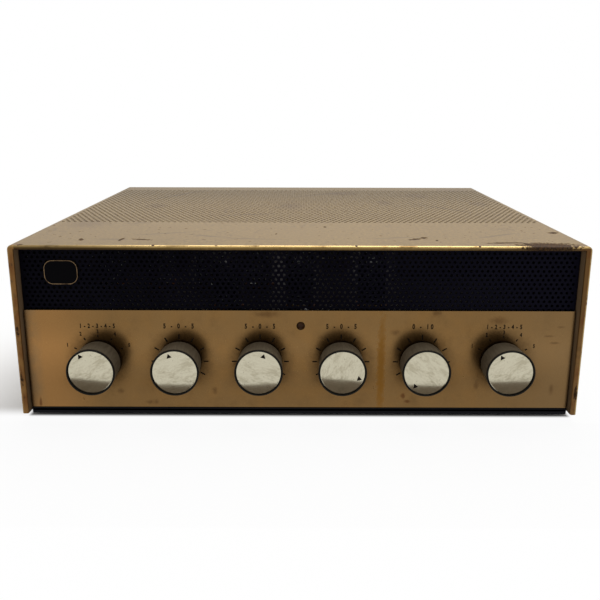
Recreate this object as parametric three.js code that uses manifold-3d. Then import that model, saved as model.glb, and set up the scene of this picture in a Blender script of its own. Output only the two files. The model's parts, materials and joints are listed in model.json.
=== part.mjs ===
// A stereo tube integrated amplifier of about 1960, in millimetres, +Z up.
// It is built in the frame of its case: x = 0 in the middle, y = 0 at the cover's front edge and
// rising to the rear, z = 0 at the cover's bottom edge. The last lines move the whole object so
// that the origin lies in the middle of its footprint, on the surface that its feet stand on.
import * as THREE from 'three';
import { mergeVertices } from 'three/addons/utils/BufferGeometryUtils.js';
import Module from 'manifold-3d';

const wasm = await Module();
wasm.setup();

// Clearances shared by the whole object
const seatGap = 0.3;        // between two pieces that rest on each other
const runningGap = 0.35;    // around a turning shaft
const cutOverrun = 2;       // how far a cutting tool runs past the faces it cuts

// Cover: one folded sheet, top and two sides, with a hemmed rim in front
const caseWidth = 352;
const caseHeight = 109.4;
const caseDepth = 280;
const coverSheet = 1.2;
const coverBend = 3;
const rimSide = 4.3;
const rimTop = 3.1;
const rimDepth = 14;

// Vents in the cover's top: a plain grid of openings, as open as its band of small punched holes
const ventColumns = 12;
const ventRows = 7;
const ventStart = 79;
const ventRearMargin = 22.4;
const ventSideMargin = 8;
const ventOpenShare = 0.54;   // of each cell of the grid, both ways

// Front panel and the grille sheet behind it
const panelRecess = 5;
const panelSheet = 1.5;
const panelBottom = 2.4;
const panelAboveLens = 10;
const grilleSheet = 1;

// Blank plate on the grille
const plateWidth = 21;
const plateHeight = 15.6;
const plateThickness = 1.2;
const plateCorner = 3;
const plateFromRim = 14.4;
const plateDropShare = 0.3;   // of the grille's height that the plate leaves free

// Bottom plate, with ventilation slots and a front skirt under the panel, and its feet
const bottomSheet = 1.2;
const skirtDrop = 2;   // below the plate's underside
const bottomSlotLength = 60;
const bottomSlotWidth = 3.4;
const bottomSlotPitch = 12;
const bottomSlotX = 85;
const bottomSlotsY = 120;
const bottomSlotRows = 5;
const footRadius = 9;
const footTipRadius = 7.5;
const footHeight = 5;
const footStemRadius = 2.8;
const footStemBead = 3.8;
const footInsetX = 31;
const footInsetY = 35;

// Chassis: deck, front and rear aprons, side flanges
const chassisSheet = 1.2;
const deckOverControls = 1.1;
const flangeDrop = 12;
const rearInset = 8;

// Vent screen that closes the back above the chassis
const screenSheet = 1;
const screenSlotWidth = 3.5;
const screenSlotPitch = 15;
const screenMarginX = 20;
const screenMarginZ = 13;

// Controls: six on one row, 2 inches apart
const controlFromRim = 44.4;
const controlHeight = 33.7;
const frontShift = 0.8;   // of the controls and the pilot lens, to the right of the middle
const controls = 6;
const shaftRadius = 3;
const shaftFlat = 2.3;
const shaftInBody = 8;
const bushingRadius = 4.7;
const bushingReach = 3.4;
const nutAcrossFlats = 12;
const nutThickness = 2.4;
const bodyRadius = 11.5;
const gangLength = 8;
const gangGap = 2;
const gangNeckRadius = 8.5;
const lugWidth = 2.4;
const lugThickness = 0.8;
const lugLength = 7;
const lugRoot = 2;
const lugPitch = 5;
const indexLength = 9;
const waferThickness = 1.6;
const waferPitch = 10;
const wafers = 2;
const waferPostRadius = 1.5;
const waferPostX = 8;
const waferHubRadius = 4;

// Where each pointer stands at rest, in degrees clockwise from straight up, seen from the front
const restAngles = { function: -30, balance: -17, treble: 16, bass: 110, volume: -142, selector: -30 };

// Knobs: moulded body with an aluminium face disc let into its front
const knobRadius = 14.75;
const knobReach = 19;
const knobStandOff = 1.6;
const knobChamfer = 0.6;
const knobDraft = 1.1;
const capRadius = 13.7;
const capThickness = 1.2;
const capBevel = 0.4;
const capDepthBelowRing = 0.9;
const knobWeb = 2.4;
const knobHollowRadius = 9.4;
const knobHollowDepth = 3.6;

// Pilot lens and its lamp holder
const lensRadius = 2.3;
const lensOverDeck = 9.8;
const lensDome = 1.1;
const lensInHolder = 4;
const holderRadius = 5.5;
const holderLength = 22;
const holderPlateWidth = 14;
const holderPlateThickness = 1;
const holderFoot = 10;

// Tubes and their sockets
const preampTubeRadius = 10.2;
const preampShorter = 7;
const preampTubes = 3;
const preampTubePitch = 52;
const preampTubeY = 76;
const outputTubeRadius = 11;
const tubeHeadroom = 6;
const outputTubes = 4;
const outputTubePitch = 40;
const tubeBaseInset = 1.6;
const tubeHeel = 2.4;
const tubeTipRadius = 1.5;
const tubeTipHeight = 2;
const socketRadius = 8.8;
const socketFlange = 11.8;
const socketFlangeHeight = 1.8;
const socketDepth = 9;
const socketWellRadius = 3;
const socketWellDepth = 3;

// Transformers and capacitor stand in a row along the rear of the deck.
const rowFromSides = 6;
const rowFromRear = 33;
const transformerHeadroom = 9;
const canHeadroom = 10;

// Power transformer, flat on the deck, with half its winding below
const powerWidth = 80;
const powerDepth = 68;
const powerStack = 24;
const powerWindingWidth = 54;
const powerWindingDepth = 46;
const powerWindingDrop = 15;
const powerCoverMargin = 7;
const powerCoverBend = 6;
const powerCoverLip = 1.6;

// Output transformers, upright, each in a clamp frame with two feet
const outputWidth = 56;
const outputStack = 24;
const outputCoilWidth = 34;
const outputCoilDepth = 44;
const outputCoilMargin = 9;
const clampSheet = 1.5;
const clampFoot = 6;
const outputTransformers = 2;
const outputPitch = 74;

// Filter capacitor can
const canRadius = 17.5;
const canBaseRadius = 20;
const canBaseHeight = 2;
const canGrooveDepth = 1.2;
const canGrooveHeight = 3;
const canGrooveRise = 5;
const canRoll = 1.5;

// Rear connectors
const jackStripFromSide = 21.4;
const jackStripMargin = 14;
const jackStripHeight = 34;
const jackStripThickness = 1.5;
const jackColumns = 5;
const jackRows = 2;
const jackPitch = 19;
const jackRowPitch = 17;
const jackZ = 25;
const jackRadius = 4.2;
const jackReach = 6.2;
const jackBoreRadius = 1.7;
const jackBackRadius = 3.4;
const jackBackLength = 9;
const terminalZ = 26;
const terminalStripMargin = 7;
const terminalStripHeight = 18;
const terminalStripThickness = 3.5;
const terminals = 6;
const terminalPitch = 10.4;
const terminalScrewRadius = 3.4;
const terminalScrewHeight = 2.6;
const terminalTabWidth = 4;
const terminalTabHeight = 8;
const fuseFromSide = 81.4;
const fuseZ = 26;
const fuseBodyRadius = 6.5;
const fuseBodyLength = 30;
const fuseFlangeRadius = 9;
const fuseFlangeThickness = 1.5;
const fuseCapRadius = 7;
const fuseCapLength = 5;
const grommetFromSide = 33.4;
const grommetZ = 22;
const grommetBoreRadius = 3.6;
const grommetNeckRadius = 6;
const grommetFlangeRadius = 8.5;
const grommetLip = 2.2;

// How many flats stand for a circle
const knobSides = 24;
const bodySides = 12;
const canSides = 16;
const tubeSides = 12;
const smallSides = 12;
const jackSides = 8;
const nutSides = 6;
const cornerSteps = 4;

// Sizes worked out from the ones above
const halfWidth = caseWidth / 2;
const insideWidth = halfWidth - rimSide - seatGap;
const controlPitch = (insideWidth - controlFromRim) * 2 / (controls - 1);
const wallWidth = halfWidth - coverSheet - seatGap;
const underTop = caseHeight - coverSheet - seatGap;
const panelBack = panelRecess + panelSheet;
const grilleFront = panelBack + seatGap;
const apronFront = panelBack + seatGap;
const apronBack = apronFront + chassisSheet;
const rearFace = caseDepth - rearInset;
const deckUnder = controlHeight + bodyRadius + deckOverControls;
const deckTop = deckUnder + chassisSheet;
const deckSeat = deckTop + seatGap;
const lensHeight = deckTop + lensOverDeck;
const panelTop = lensHeight + panelAboveLens;
const grilleTop = caseHeight - rimTop - seatGap;
const bottomTop = bottomSheet + seatGap;
const frontMost = panelRecess - knobReach;
const tubeBase = deckSeat + socketFlangeHeight + seatGap;
const outputTubeHeight = underTop - tubeHeadroom - tubeBase;
const powerX = insideWidth - rowFromSides - powerWidth / 2;
const powerY = rearFace - rowFromRear - powerDepth / 2;
const outputHeight = underTop - transformerHeadroom - clampSheet - deckSeat;
const clampReach = outputWidth / 2 + clampSheet + clampFoot;
const outputRowWidth = (outputTransformers - 1) * outputPitch + 2 * clampReach;
const outputX = -insideWidth + rowFromSides + outputRowWidth / 2;
const outputY = rearFace - rowFromRear - outputCoilDepth / 2;
const outputTubeY = (preampTubeY + outputY - outputCoilDepth / 2) / 2;
const canX = (outputX + outputRowWidth / 2 + powerX - powerWidth / 2) / 2;
const jackStripWidth = (jackColumns - 1) * jackPitch + 2 * jackStripMargin;
const jackStripX = -insideWidth + jackStripFromSide + jackStripWidth / 2;
const fuseX = insideWidth - fuseFromSide;
const grommetX = insideWidth - grommetFromSide;
const terminalStripWidth = (terminals - 1) * terminalPitch + 2 * terminalStripMargin;
const terminalX = (jackStripX + jackStripWidth / 2 + fuseX - fuseFlangeRadius) / 2;

// The middle of a row of evenly spaced copies is where the row is centred.
const rowOffset = (index, count, pitch) => (index - (count - 1) / 2) * pitch;
const controlXs = Array.from({ length: controls },
  (unused, i) => frontShift + rowOffset(i, controls, controlPitch));

// A hole's flats stay one gap clear of the round piece inside it.
const holeRadius = (pieceRadius, gap, sides) => (pieceRadius + gap) / Math.cos(Math.PI / sides);

function block(x0, x1, y0, y1, z0, z1) {
  const box = new THREE.BoxGeometry(x1 - x0, y1 - y0, z1 - z0);
  return box.translate((x0 + x1) / 2, (y0 + y1) / 2, (z0 + z1) / 2);
}

// A turned piece whose axis runs from front to rear. The profile is a list of [radius, y].
function turnedAlongY(profile, sides, x = 0, z = 0) {
  const points = profile.map(([radius, y]) => new THREE.Vector2(radius, y));
  return new THREE.LatheGeometry(points, sides).translate(x, 0, z);
}

// A turned piece that stands upright. The profile is a list of [radius, z].
function turnedUpright(profile, sides, x = 0, y = 0) {
  const points = profile.map(([radius, z]) => new THREE.Vector2(radius, z));
  return new THREE.LatheGeometry(points, sides).rotateX(Math.PI / 2).translate(x, y, 0);
}

function rodAlongY(radius, y0, y1, sides, x = 0, z = 0) {
  return turnedAlongY([[0, y0], [radius, y0], [radius, y1], [0, y1]], sides, x, z);
}

function rodUpright(radius, z0, z1, sides, x = 0, y = 0) {
  return turnedUpright([[0, z0], [radius, z0], [radius, z1], [0, z1]], sides, x, y);
}

// An outline drawn in x and z, given its thickness from y0 to y1.
function plateAlongY(shape, y0, y1) {
  const settings = { depth: y1 - y0, bevelEnabled: false, curveSegments: cornerSteps };
  return new THREE.ExtrudeGeometry(shape, settings).rotateX(Math.PI / 2).translate(0, y1, 0);
}

// An outline drawn in x and y, given its thickness from z0 to z1.
function plateUpright(shape, z0, z1) {
  const settings = { depth: z1 - z0, bevelEnabled: false, curveSegments: cornerSteps };
  return new THREE.ExtrudeGeometry(shape, settings).translate(0, 0, z0);
}

function roundedRectangle(x0, x1, y0, y1, corner) {
  const shape = new THREE.Shape();
  shape.moveTo(x0 + corner, y0);
  shape.lineTo(x1 - corner, y0);
  shape.absarc(x1 - corner, y0 + corner, corner, -Math.PI / 2, 0, false);
  shape.lineTo(x1, y1 - corner);
  shape.absarc(x1 - corner, y1 - corner, corner, 0, Math.PI / 2, false);
  shape.lineTo(x0 + corner, y1);
  shape.absarc(x0 + corner, y1 - corner, corner, Math.PI / 2, Math.PI, false);
  shape.lineTo(x0, y0 + corner);
  shape.absarc(x0 + corner, y0 + corner, corner, Math.PI, Math.PI * 3 / 2, false);
  return shape;
}

function solidOf(geometry) {
  const bare = geometry.clone();
  bare.deleteAttribute('normal');
  bare.deleteAttribute('uv');
  const merged = mergeVertices(bare);
  const vertProperties = new Float32Array(merged.attributes.position.array);
  const triVerts = new Uint32Array(merged.index.array);
  return new wasm.Manifold(new wasm.Mesh({ numProp: 3, vertProperties, triVerts }));
}

function geometryOf(solid) {
  const mesh = solid.getMesh();
  const geometry = new THREE.BufferGeometry();
  geometry.setAttribute('position', new THREE.BufferAttribute(mesh.vertProperties, mesh.numProp));
  geometry.setIndex(new THREE.BufferAttribute(mesh.triVerts, 1));
  geometry.computeVertexNormals();
  return geometry;
}

// Pieces of one part are joined, then the tools are cut away from it.
function joined(pieces, tools = []) {
  let solid = solidOf(pieces[0]);
  for (const piece of pieces.slice(1)) {
    solid = solid.add(solidOf(piece));
  }
  for (const tool of tools) {
    solid = solid.subtract(solidOf(tool));
  }
  return geometryOf(solid);
}

function finish(color, roughness, metalness) {
  return new THREE.MeshStandardMaterial({ color, roughness, metalness });
}

const coverPaint = finish('#a89878', 0.55, 0.2);
const panelPaint = finish('#80603a', 0.5, 0.35);
const blackPaint = finish('#141419', 0.6, 0.1);
const giltRim = finish('#a8894e', 0.35, 0.8);
const chassisPlate = finish('#8f9192', 0.4, 0.9);
const rubber = finish('#1b1b1b', 0.9, 0);
const lensPlastic = finish('#3a1c12', 0.2, 0);
const brightSteel = finish('#b9bbbd', 0.3, 1);
const lamination = finish('#3b3d40', 0.6, 0.7);
const coverSteel = finish('#1e1f21', 0.5, 0.4);
const aluminium = finish('#b8b5a8', 0.25, 1);
const glass = finish('#d7dcd6', 0.05, 0);
const phenolic = finish('#5b3a22', 0.7, 0);
const knobPlastic = finish('#463d30', 0.5, 0);

const amplifier = new THREE.Group();

function addPiece(name, geometry, material, parent = amplifier) {
  const mesh = new THREE.Mesh(geometry, material);
  mesh.name = name;
  parent.add(mesh);
}

// The sheet runs up one side, over the top and down the other side. Its bends are round outside.
// Inside, the thin sheet has corners cut flat, and the thicker rim has square ones.
function coverOutline(sideThickness, topThickness) {
  const innerBend = Math.max(coverBend - topThickness, 0);
  const innerX = halfWidth - sideThickness;
  const innerTop = caseHeight - topThickness;
  const shape = new THREE.Shape();
  shape.moveTo(-halfWidth, 0);
  shape.lineTo(-innerX, 0);
  shape.lineTo(-innerX, innerTop - innerBend);
  shape.lineTo(-innerX + innerBend, innerTop);
  shape.lineTo(innerX - innerBend, innerTop);
  shape.lineTo(innerX, innerTop - innerBend);
  shape.lineTo(innerX, 0);
  shape.lineTo(halfWidth, 0);
  shape.lineTo(halfWidth, caseHeight - coverBend);
  shape.absarc(halfWidth - coverBend, caseHeight - coverBend, coverBend, 0, Math.PI / 2, false);
  shape.lineTo(-halfWidth + coverBend, caseHeight);
  shape.absarc(-halfWidth + coverBend, caseHeight - coverBend, coverBend, Math.PI / 2, Math.PI, false);
  return shape;
}

function coverVents() {
  const pitchX = (halfWidth - ventSideMargin) * 2 / ventColumns;
  const pitchY = (caseDepth - ventStart - ventRearMargin) / ventRows;
  const middleY = (caseDepth + ventStart - ventRearMargin) / 2;
  const reachX = pitchX * ventOpenShare / 2;
  const reachY = pitchY * ventOpenShare / 2;
  const vents = [];
  for (let row = 0; row < ventRows; row += 1) {
    const y = middleY + rowOffset(row, ventRows, pitchY);
    for (let column = 0; column < ventColumns; column += 1) {
      const x = rowOffset(column, ventColumns, pitchX);
      vents.push(block(x - reachX, x + reachX, y - reachY, y + reachY,
        underTop - cutOverrun, caseHeight + cutOverrun));
    }
  }
  return vents;
}

function topCover() {
  const sheet = plateAlongY(coverOutline(coverSheet, coverSheet), 0, caseDepth);
  const rim = plateAlongY(coverOutline(rimSide, rimTop), 0, rimDepth);
  return joined([sheet, rim], coverVents());
}

// The plate fills the opening between the cover's sides, and is narrower inside the front rim.
function bottomPlate() {
  const stepY = rimDepth + seatGap;
  const backY = caseDepth - seatGap;
  const outline = new THREE.Shape();
  outline.moveTo(-insideWidth, panelRecess);
  outline.lineTo(insideWidth, panelRecess);
  outline.lineTo(insideWidth, stepY);
  outline.lineTo(wallWidth, stepY);
  outline.lineTo(wallWidth, backY);
  outline.lineTo(-wallWidth, backY);
  outline.lineTo(-wallWidth, stepY);
  outline.lineTo(-insideWidth, stepY);
  const sheet = plateUpright(outline, 0, bottomSheet);
  const skirtTop = panelBottom - seatGap;
  const skirt = block(-insideWidth, insideWidth, panelRecess, panelRecess + bottomSheet,
    -skirtDrop, skirtTop);
  const slots = [];
  for (const side of [-1, 1]) {
    for (let row = 0; row < bottomSlotRows; row += 1) {
      const x = side * bottomSlotX;
      const y = bottomSlotsY + rowOffset(row, bottomSlotRows, bottomSlotPitch);
      slots.push(block(x - bottomSlotLength / 2, x + bottomSlotLength / 2,
        y - bottomSlotWidth / 2, y + bottomSlotWidth / 2, -cutOverrun, bottomSheet + cutOverrun));
    }
  }
  for (const [x, y] of footPlaces()) {
    const radius = holeRadius(footStemRadius, seatGap, smallSides);
    slots.push(rodUpright(radius, -cutOverrun, bottomSheet + cutOverrun, smallSides, x, y));
  }
  return joined([sheet, skirt], slots);
}

function footPlaces() {
  const places = [];
  for (const y of [footInsetY, caseDepth - footInsetY]) {
    for (const side of [-1, 1]) {
      places.push([side * (halfWidth - footInsetX), y]);
    }
  }
  return places;
}

// A push-in rubber foot: pad below the plate, stem through it, bead above it.
function rubberFoot(x, y) {
  const beadBottom = bottomSheet + seatGap;
  const beadTop = beadBottom + footStemBead - footStemRadius;
  return turnedUpright([
    [0, -footHeight],
    [footTipRadius, -footHeight],
    [footRadius, -seatGap],
    [footStemRadius, -seatGap],
    [footStemRadius, beadBottom],
    [footStemBead, beadBottom],
    [footStemRadius, beadTop],
    [0, beadTop],
  ], smallSides, x, y);
}

function frontPanel() {
  const sheet = block(-insideWidth, insideWidth, panelRecess, panelBack, panelBottom, panelTop);
  const holes = controlXs.map((x) => rodAlongY(holeRadius(bushingRadius, seatGap, bodySides),
    panelRecess - cutOverrun, panelBack + cutOverrun, bodySides, x, controlHeight));
  holes.push(rodAlongY(holeRadius(lensRadius, seatGap, smallSides),
    panelRecess - cutOverrun, panelBack + cutOverrun, smallSides, frontShift, lensHeight));
  return joined([sheet], holes);
}

// The grille sheet stands on the deck, behind the panel, and fills the window above the panel.
function frontGrille() {
  const back = grilleFront + grilleSheet;
  const sheet = block(-insideWidth, insideWidth, grilleFront, back, deckSeat, grilleTop);
  const hole = rodAlongY(holeRadius(lensRadius, seatGap, smallSides),
    grilleFront - cutOverrun, back + cutOverrun, smallSides, frontShift, lensHeight);
  return joined([sheet], [hole]);
}

function blankPlate() {
  const left = -insideWidth + plateFromRim;
  const top = grilleTop - (grilleTop - panelTop - plateHeight) * plateDropShare;
  const outline = roundedRectangle(left, left + plateWidth, top - plateHeight, top, plateCorner);
  const back = grilleFront - seatGap;
  return plateAlongY(outline, back - plateThickness, back);
}

// Places of everything that stands in a hole of the deck: [x, y, tube radius, tube height]
function tubePlaces() {
  const places = [];
  for (let i = 0; i < preampTubes; i += 1) {
    const x = rowOffset(i, preampTubes, preampTubePitch);
    places.push([x, preampTubeY, preampTubeRadius, outputTubeHeight - preampShorter]);
  }
  for (let i = 0; i < outputTubes; i += 1) {
    const x = outputX + rowOffset(i, outputTubes, outputTubePitch);
    places.push([x, outputTubeY, outputTubeRadius, outputTubeHeight]);
  }
  return places;
}

function jackPlaces() {
  const places = [];
  for (let row = 0; row < jackRows; row += 1) {
    for (let column = 0; column < jackColumns; column += 1) {
      const x = jackStripX + rowOffset(column, jackColumns, jackPitch);
      places.push([x, jackZ + rowOffset(row, jackRows, jackRowPitch)]);
    }
  }
  return places;
}

// A bent sheet: deck on top, an apron down at the front and one at the rear, flanges at the sides.
function chassis() {
  const deck = block(-insideWidth, insideWidth, apronFront, rearFace, deckUnder, deckTop);
  const frontApron = block(-insideWidth, insideWidth, apronFront, apronBack, bottomTop, deckTop);
  const rearFront = rearFace - chassisSheet;
  const rearApron = block(-insideWidth, insideWidth, rearFront, rearFace, bottomTop, deckTop);
  const flangeX = insideWidth - chassisSheet;
  const flangeZ = deckTop - flangeDrop;
  const leftFlange = block(-insideWidth, -flangeX, apronFront, rearFace, flangeZ, deckTop);
  const rightFlange = block(flangeX, insideWidth, apronFront, rearFace, flangeZ, deckTop);
  const cuts = [];
  for (const [x, y] of tubePlaces()) {
    const radius = holeRadius(socketRadius, seatGap, tubeSides);
    cuts.push(rodUpright(radius, deckUnder - cutOverrun, deckTop + cutOverrun, tubeSides, x, y));
  }
  for (const x of controlXs) {
    const radius = holeRadius(bushingRadius, seatGap, bodySides);
    cuts.push(rodAlongY(radius, apronFront - cutOverrun, apronBack + cutOverrun, bodySides, x, controlHeight));
  }
  cuts.push(block(powerX - powerWindingWidth / 2 - seatGap, powerX + powerWindingWidth / 2 + seatGap,
    powerY - powerWindingDepth / 2 - seatGap, powerY + powerWindingDepth / 2 + seatGap,
    deckUnder - cutOverrun, deckTop + cutOverrun));
  const rearStart = rearFront - cutOverrun;
  const rearEnd = rearFace + cutOverrun;
  for (const [x, z] of jackPlaces()) {
    cuts.push(rodAlongY(holeRadius(jackBackRadius, seatGap, jackSides), rearStart, rearEnd, jackSides, x, z));
  }
  for (let i = 0; i < terminals; i += 1) {
    const x = terminalX + rowOffset(i, terminals, terminalPitch);
    cuts.push(block(x - terminalTabWidth / 2 - seatGap, x + terminalTabWidth / 2 + seatGap, rearStart, rearEnd,
      terminalZ - terminalTabHeight / 2 - seatGap, terminalZ + terminalTabHeight / 2 + seatGap));
  }
  const fuseHole = holeRadius(fuseBodyRadius, seatGap, smallSides);
  cuts.push(rodAlongY(fuseHole, rearStart, rearEnd, smallSides, fuseX, fuseZ));
  const grommetHole = holeRadius(grommetNeckRadius, seatGap, smallSides);
  cuts.push(rodAlongY(grommetHole, rearStart, rearEnd, smallSides, grommetX, grommetZ));
  return joined([deck, frontApron, rearApron, leftFlange, rightFlange], cuts);
}

function rearScreen() {
  const outline = roundedRectangle(-wallWidth, wallWidth, deckSeat, underTop, coverBend);
  const sheet = plateAlongY(outline, rearFace - screenSheet, rearFace);
  const slotCount = Math.floor((wallWidth - screenMarginX) * 2 / screenSlotPitch);
  const slots = [];
  for (let i = 0; i < slotCount; i += 1) {
    const x = rowOffset(i, slotCount, screenSlotPitch);
    slots.push(block(x - screenSlotWidth / 2, x + screenSlotWidth / 2,
      rearFace - screenSheet - cutOverrun, rearFace + cutOverrun,
      deckSeat + screenMarginZ, underTop - screenMarginZ));
  }
  return joined([sheet], slots);
}

// The lens is a short light pipe with a domed front, held in the lamp holder's mouth.
const holderFront = grilleFront + grilleSheet + seatGap;

function pilotLens() {
  const back = holderFront + lensInHolder;
  return turnedAlongY([
    [0, panelRecess - lensDome],
    [lensRadius * Math.SQRT1_2, panelRecess - lensDome * Math.SQRT1_2],
    [lensRadius, panelRecess],
    [lensRadius, back],
    [0, back],
  ], smallSides, frontShift, lensHeight);
}

function pilotLampHolder() {
  const mouthBack = holderFront + lensInHolder + seatGap;
  const mouthRadius = holeRadius(lensRadius, seatGap, smallSides);
  const cup = turnedAlongY([
    [0, mouthBack],
    [mouthRadius, mouthBack],
    [mouthRadius, holderFront],
    [holderRadius, holderFront],
    [holderRadius, holderFront + holderLength],
    [0, holderFront + holderLength],
  ], smallSides, frontShift, lensHeight);
  const plateX0 = frontShift - holderPlateWidth / 2;
  const plateX1 = frontShift + holderPlateWidth / 2;
  const plateBack = holderFront + holderPlateThickness;
  const plate = block(plateX0, plateX1, holderFront, plateBack, deckSeat, lensHeight);
  const mouth = rodAlongY(mouthRadius, holderFront - cutOverrun, mouthBack,
    smallSides, frontShift, lensHeight);
  const footBack = holderFront + holderFoot;
  const foot = block(plateX0, plateX1, holderFront, footBack, deckSeat, deckSeat + holderPlateThickness);
  return joined([cup, plate, foot], [mouth]);
}

// Each control's own frame has its origin where its axis meets the panel's front face.
const bodyFront = apronBack + seatGap - panelRecess;
const boreEnd = bodyFront + shaftInBody + seatGap;
const shaftBore = holeRadius(shaftRadius, runningGap, bodySides);

function bushingNut() {
  const radius = nutAcrossFlats / 2 / Math.cos(Math.PI / nutSides);
  return rodAlongY(radius, -seatGap - nutThickness, -seatGap, nutSides);
}

function shaftHole() {
  return rodAlongY(shaftBore, -bushingReach - cutOverrun, boreEnd, bodySides);
}

// Two ganged resistance elements in round cans, each with three solder lugs below.
function potentiometer() {
  const firstEnd = bodyFront + gangLength;
  const secondStart = firstEnd + gangGap;
  const secondEnd = secondStart + gangLength;
  const cans = turnedAlongY([
    [0, -bushingReach],
    [bushingRadius, -bushingReach],
    [bushingRadius, bodyFront],
    [bodyRadius, bodyFront],
    [bodyRadius, firstEnd],
    [gangNeckRadius, firstEnd],
    [gangNeckRadius, secondStart],
    [bodyRadius, secondStart],
    [bodyRadius, secondEnd],
    [0, secondEnd],
  ], bodySides);
  const lugs = [];
  for (const y of [(bodyFront + firstEnd) / 2, (secondStart + secondEnd) / 2]) {
    for (const place of [-1, 0, 1]) {
      const x = place * lugPitch;
      lugs.push(block(x - lugWidth / 2, x + lugWidth / 2, y - lugThickness / 2, y + lugThickness / 2,
        -bodyRadius - lugLength, -bodyRadius + lugRoot));
    }
  }
  return joined([cans, bushingNut(), ...lugs], [shaftHole()]);
}

// An index housing in front, then wafers on two posts, with a hub through them.
function rotarySwitch() {
  const indexEnd = bodyFront + indexLength;
  const housing = turnedAlongY([
    [0, -bushingReach],
    [bushingRadius, -bushingReach],
    [bushingRadius, bodyFront],
    [bodyRadius, bodyFront],
    [bodyRadius, indexEnd],
    [0, indexEnd],
  ], bodySides);
  const stackEnd = indexEnd + wafers * waferPitch;
  const parts = [housing, bushingNut()];
  for (let i = 1; i <= wafers; i += 1) {
    const back = indexEnd + i * waferPitch;
    parts.push(rodAlongY(bodyRadius, back - waferThickness, back, smallSides));
  }
  const postStart = indexEnd - waferThickness;
  const postEnd = stackEnd + waferThickness;
  for (const side of [-1, 1]) {
    parts.push(rodAlongY(waferPostRadius, postStart, postEnd, nutSides, side * waferPostX));
  }
  parts.push(rodAlongY(waferHubRadius, postStart, postEnd, jackSides));
  return joined(parts, [shaftHole()]);
}

const capSeat = -knobReach + capDepthBelowRing + capThickness + seatGap;
const knobBoreEnd = capSeat + knobWeb;
const shaftFront = knobBoreEnd + seatGap;

// A round bar with a flat along its length, where the knob's grub screw presses, opposite the pointer.
function controlShaft() {
  const flatAngle = Math.acos(shaftFlat / shaftRadius);
  const outline = new THREE.Shape();
  outline.absarc(0, 0, shaftRadius, -Math.PI / 2 + flatAngle, Math.PI * 3 / 2 - flatAngle, false);
  const length = bodyFront + shaftInBody - shaftFront;
  const settings = { depth: length, bevelEnabled: false, curveSegments: smallSides };
  const bar = new THREE.ExtrudeGeometry(outline, settings);
  return bar.rotateX(Math.PI / 2).translate(0, bodyFront + shaftInBody, 0);
}

// A cup-backed knob: a ring in front holds the face disc, and the hollow behind hides the nut.
function knobBody() {
  const bore = holeRadius(shaftRadius, seatGap, knobSides);
  const ringInner = holeRadius(capRadius, seatGap, knobSides);
  const hollowEnd = -knobStandOff - knobHollowDepth;
  return turnedAlongY([
    [0, capSeat],
    [ringInner, capSeat],
    [ringInner, -knobReach],
    [knobRadius - knobChamfer, -knobReach],
    [knobRadius, -knobReach + knobChamfer],
    [knobRadius - knobDraft, -knobStandOff],
    [knobHollowRadius, -knobStandOff],
    [knobHollowRadius, hollowEnd],
    [bore, hollowEnd],
    [bore, knobBoreEnd],
    [0, knobBoreEnd],
  ], knobSides);
}

function knobCap() {
  const front = -knobReach + capDepthBelowRing;
  return turnedAlongY([
    [0, front],
    [capRadius - capBevel, front],
    [capRadius, front + capBevel],
    [capRadius, front + capThickness],
    [0, front + capThickness],
  ], knobSides);
}

// A socket hangs in its deck hole by its flange. The tube's base rests on the flange.
function tubeSocket(x, y) {
  const top = deckSeat + socketFlangeHeight;
  return turnedUpright([
    [0, deckTop - socketDepth],
    [socketRadius, deckTop - socketDepth],
    [socketRadius, deckSeat],
    [socketFlange, deckSeat],
    [socketFlange, top],
    [socketWellRadius, top],
    [socketWellRadius, top - socketWellDepth],
    [0, top - socketWellDepth],
  ], tubeSides, x, y);
}

// The bulb closes in a dome, drawn as a quarter ellipse, with the sealed tip on top.
function electronTube(x, y, radius, height) {
  const top = tubeBase + height;
  const domeTop = top - tubeTipHeight;
  const domeHeight = radius * Math.SQRT1_2;
  const domeSteps = 3;
  const profile = [[0, tubeBase], [radius - tubeBaseInset, tubeBase], [radius, tubeBase + tubeHeel]];
  for (let i = 0; i < domeSteps; i += 1) {
    const angle = (i / domeSteps) * Math.PI / 2;
    profile.push([radius * Math.cos(angle), domeTop - domeHeight * (1 - Math.sin(angle))]);
  }
  profile.push([tubeTipRadius, domeTop], [0, top]);
  return turnedUpright(profile, tubeSides, x, y);
}

// The laminations lie flat on the deck. Half of the winding hangs through the deck.
function powerTransformerCore() {
  const x0 = powerX - powerWidth / 2;
  const y0 = powerY - powerDepth / 2;
  const stack = block(x0, x0 + powerWidth, y0, y0 + powerDepth, deckSeat, deckSeat + powerStack);
  const wx = powerX - powerWindingWidth / 2;
  const wy = powerY - powerWindingDepth / 2;
  const winding = block(wx, wx + powerWindingWidth, wy, wy + powerWindingDepth,
    deckTop - powerWindingDrop, deckSeat + powerStack);
  return joined([stack, winding]);
}

function powerTransformerCover() {
  const base = deckSeat + powerStack + seatGap;
  const halfX = powerWidth / 2;
  const halfY = powerDepth / 2;
  const lip = block(powerX - halfX, powerX + halfX, powerY - halfY, powerY + halfY, base, base + powerCoverLip);
  const bell = plateUpright(roundedRectangle(powerX - halfX + powerCoverMargin, powerX + halfX - powerCoverMargin,
    powerY - halfY + powerCoverMargin, powerY + halfY - powerCoverMargin, powerCoverBend),
  base, underTop - transformerHeadroom);
  return joined([lip, bell]);
}

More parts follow.
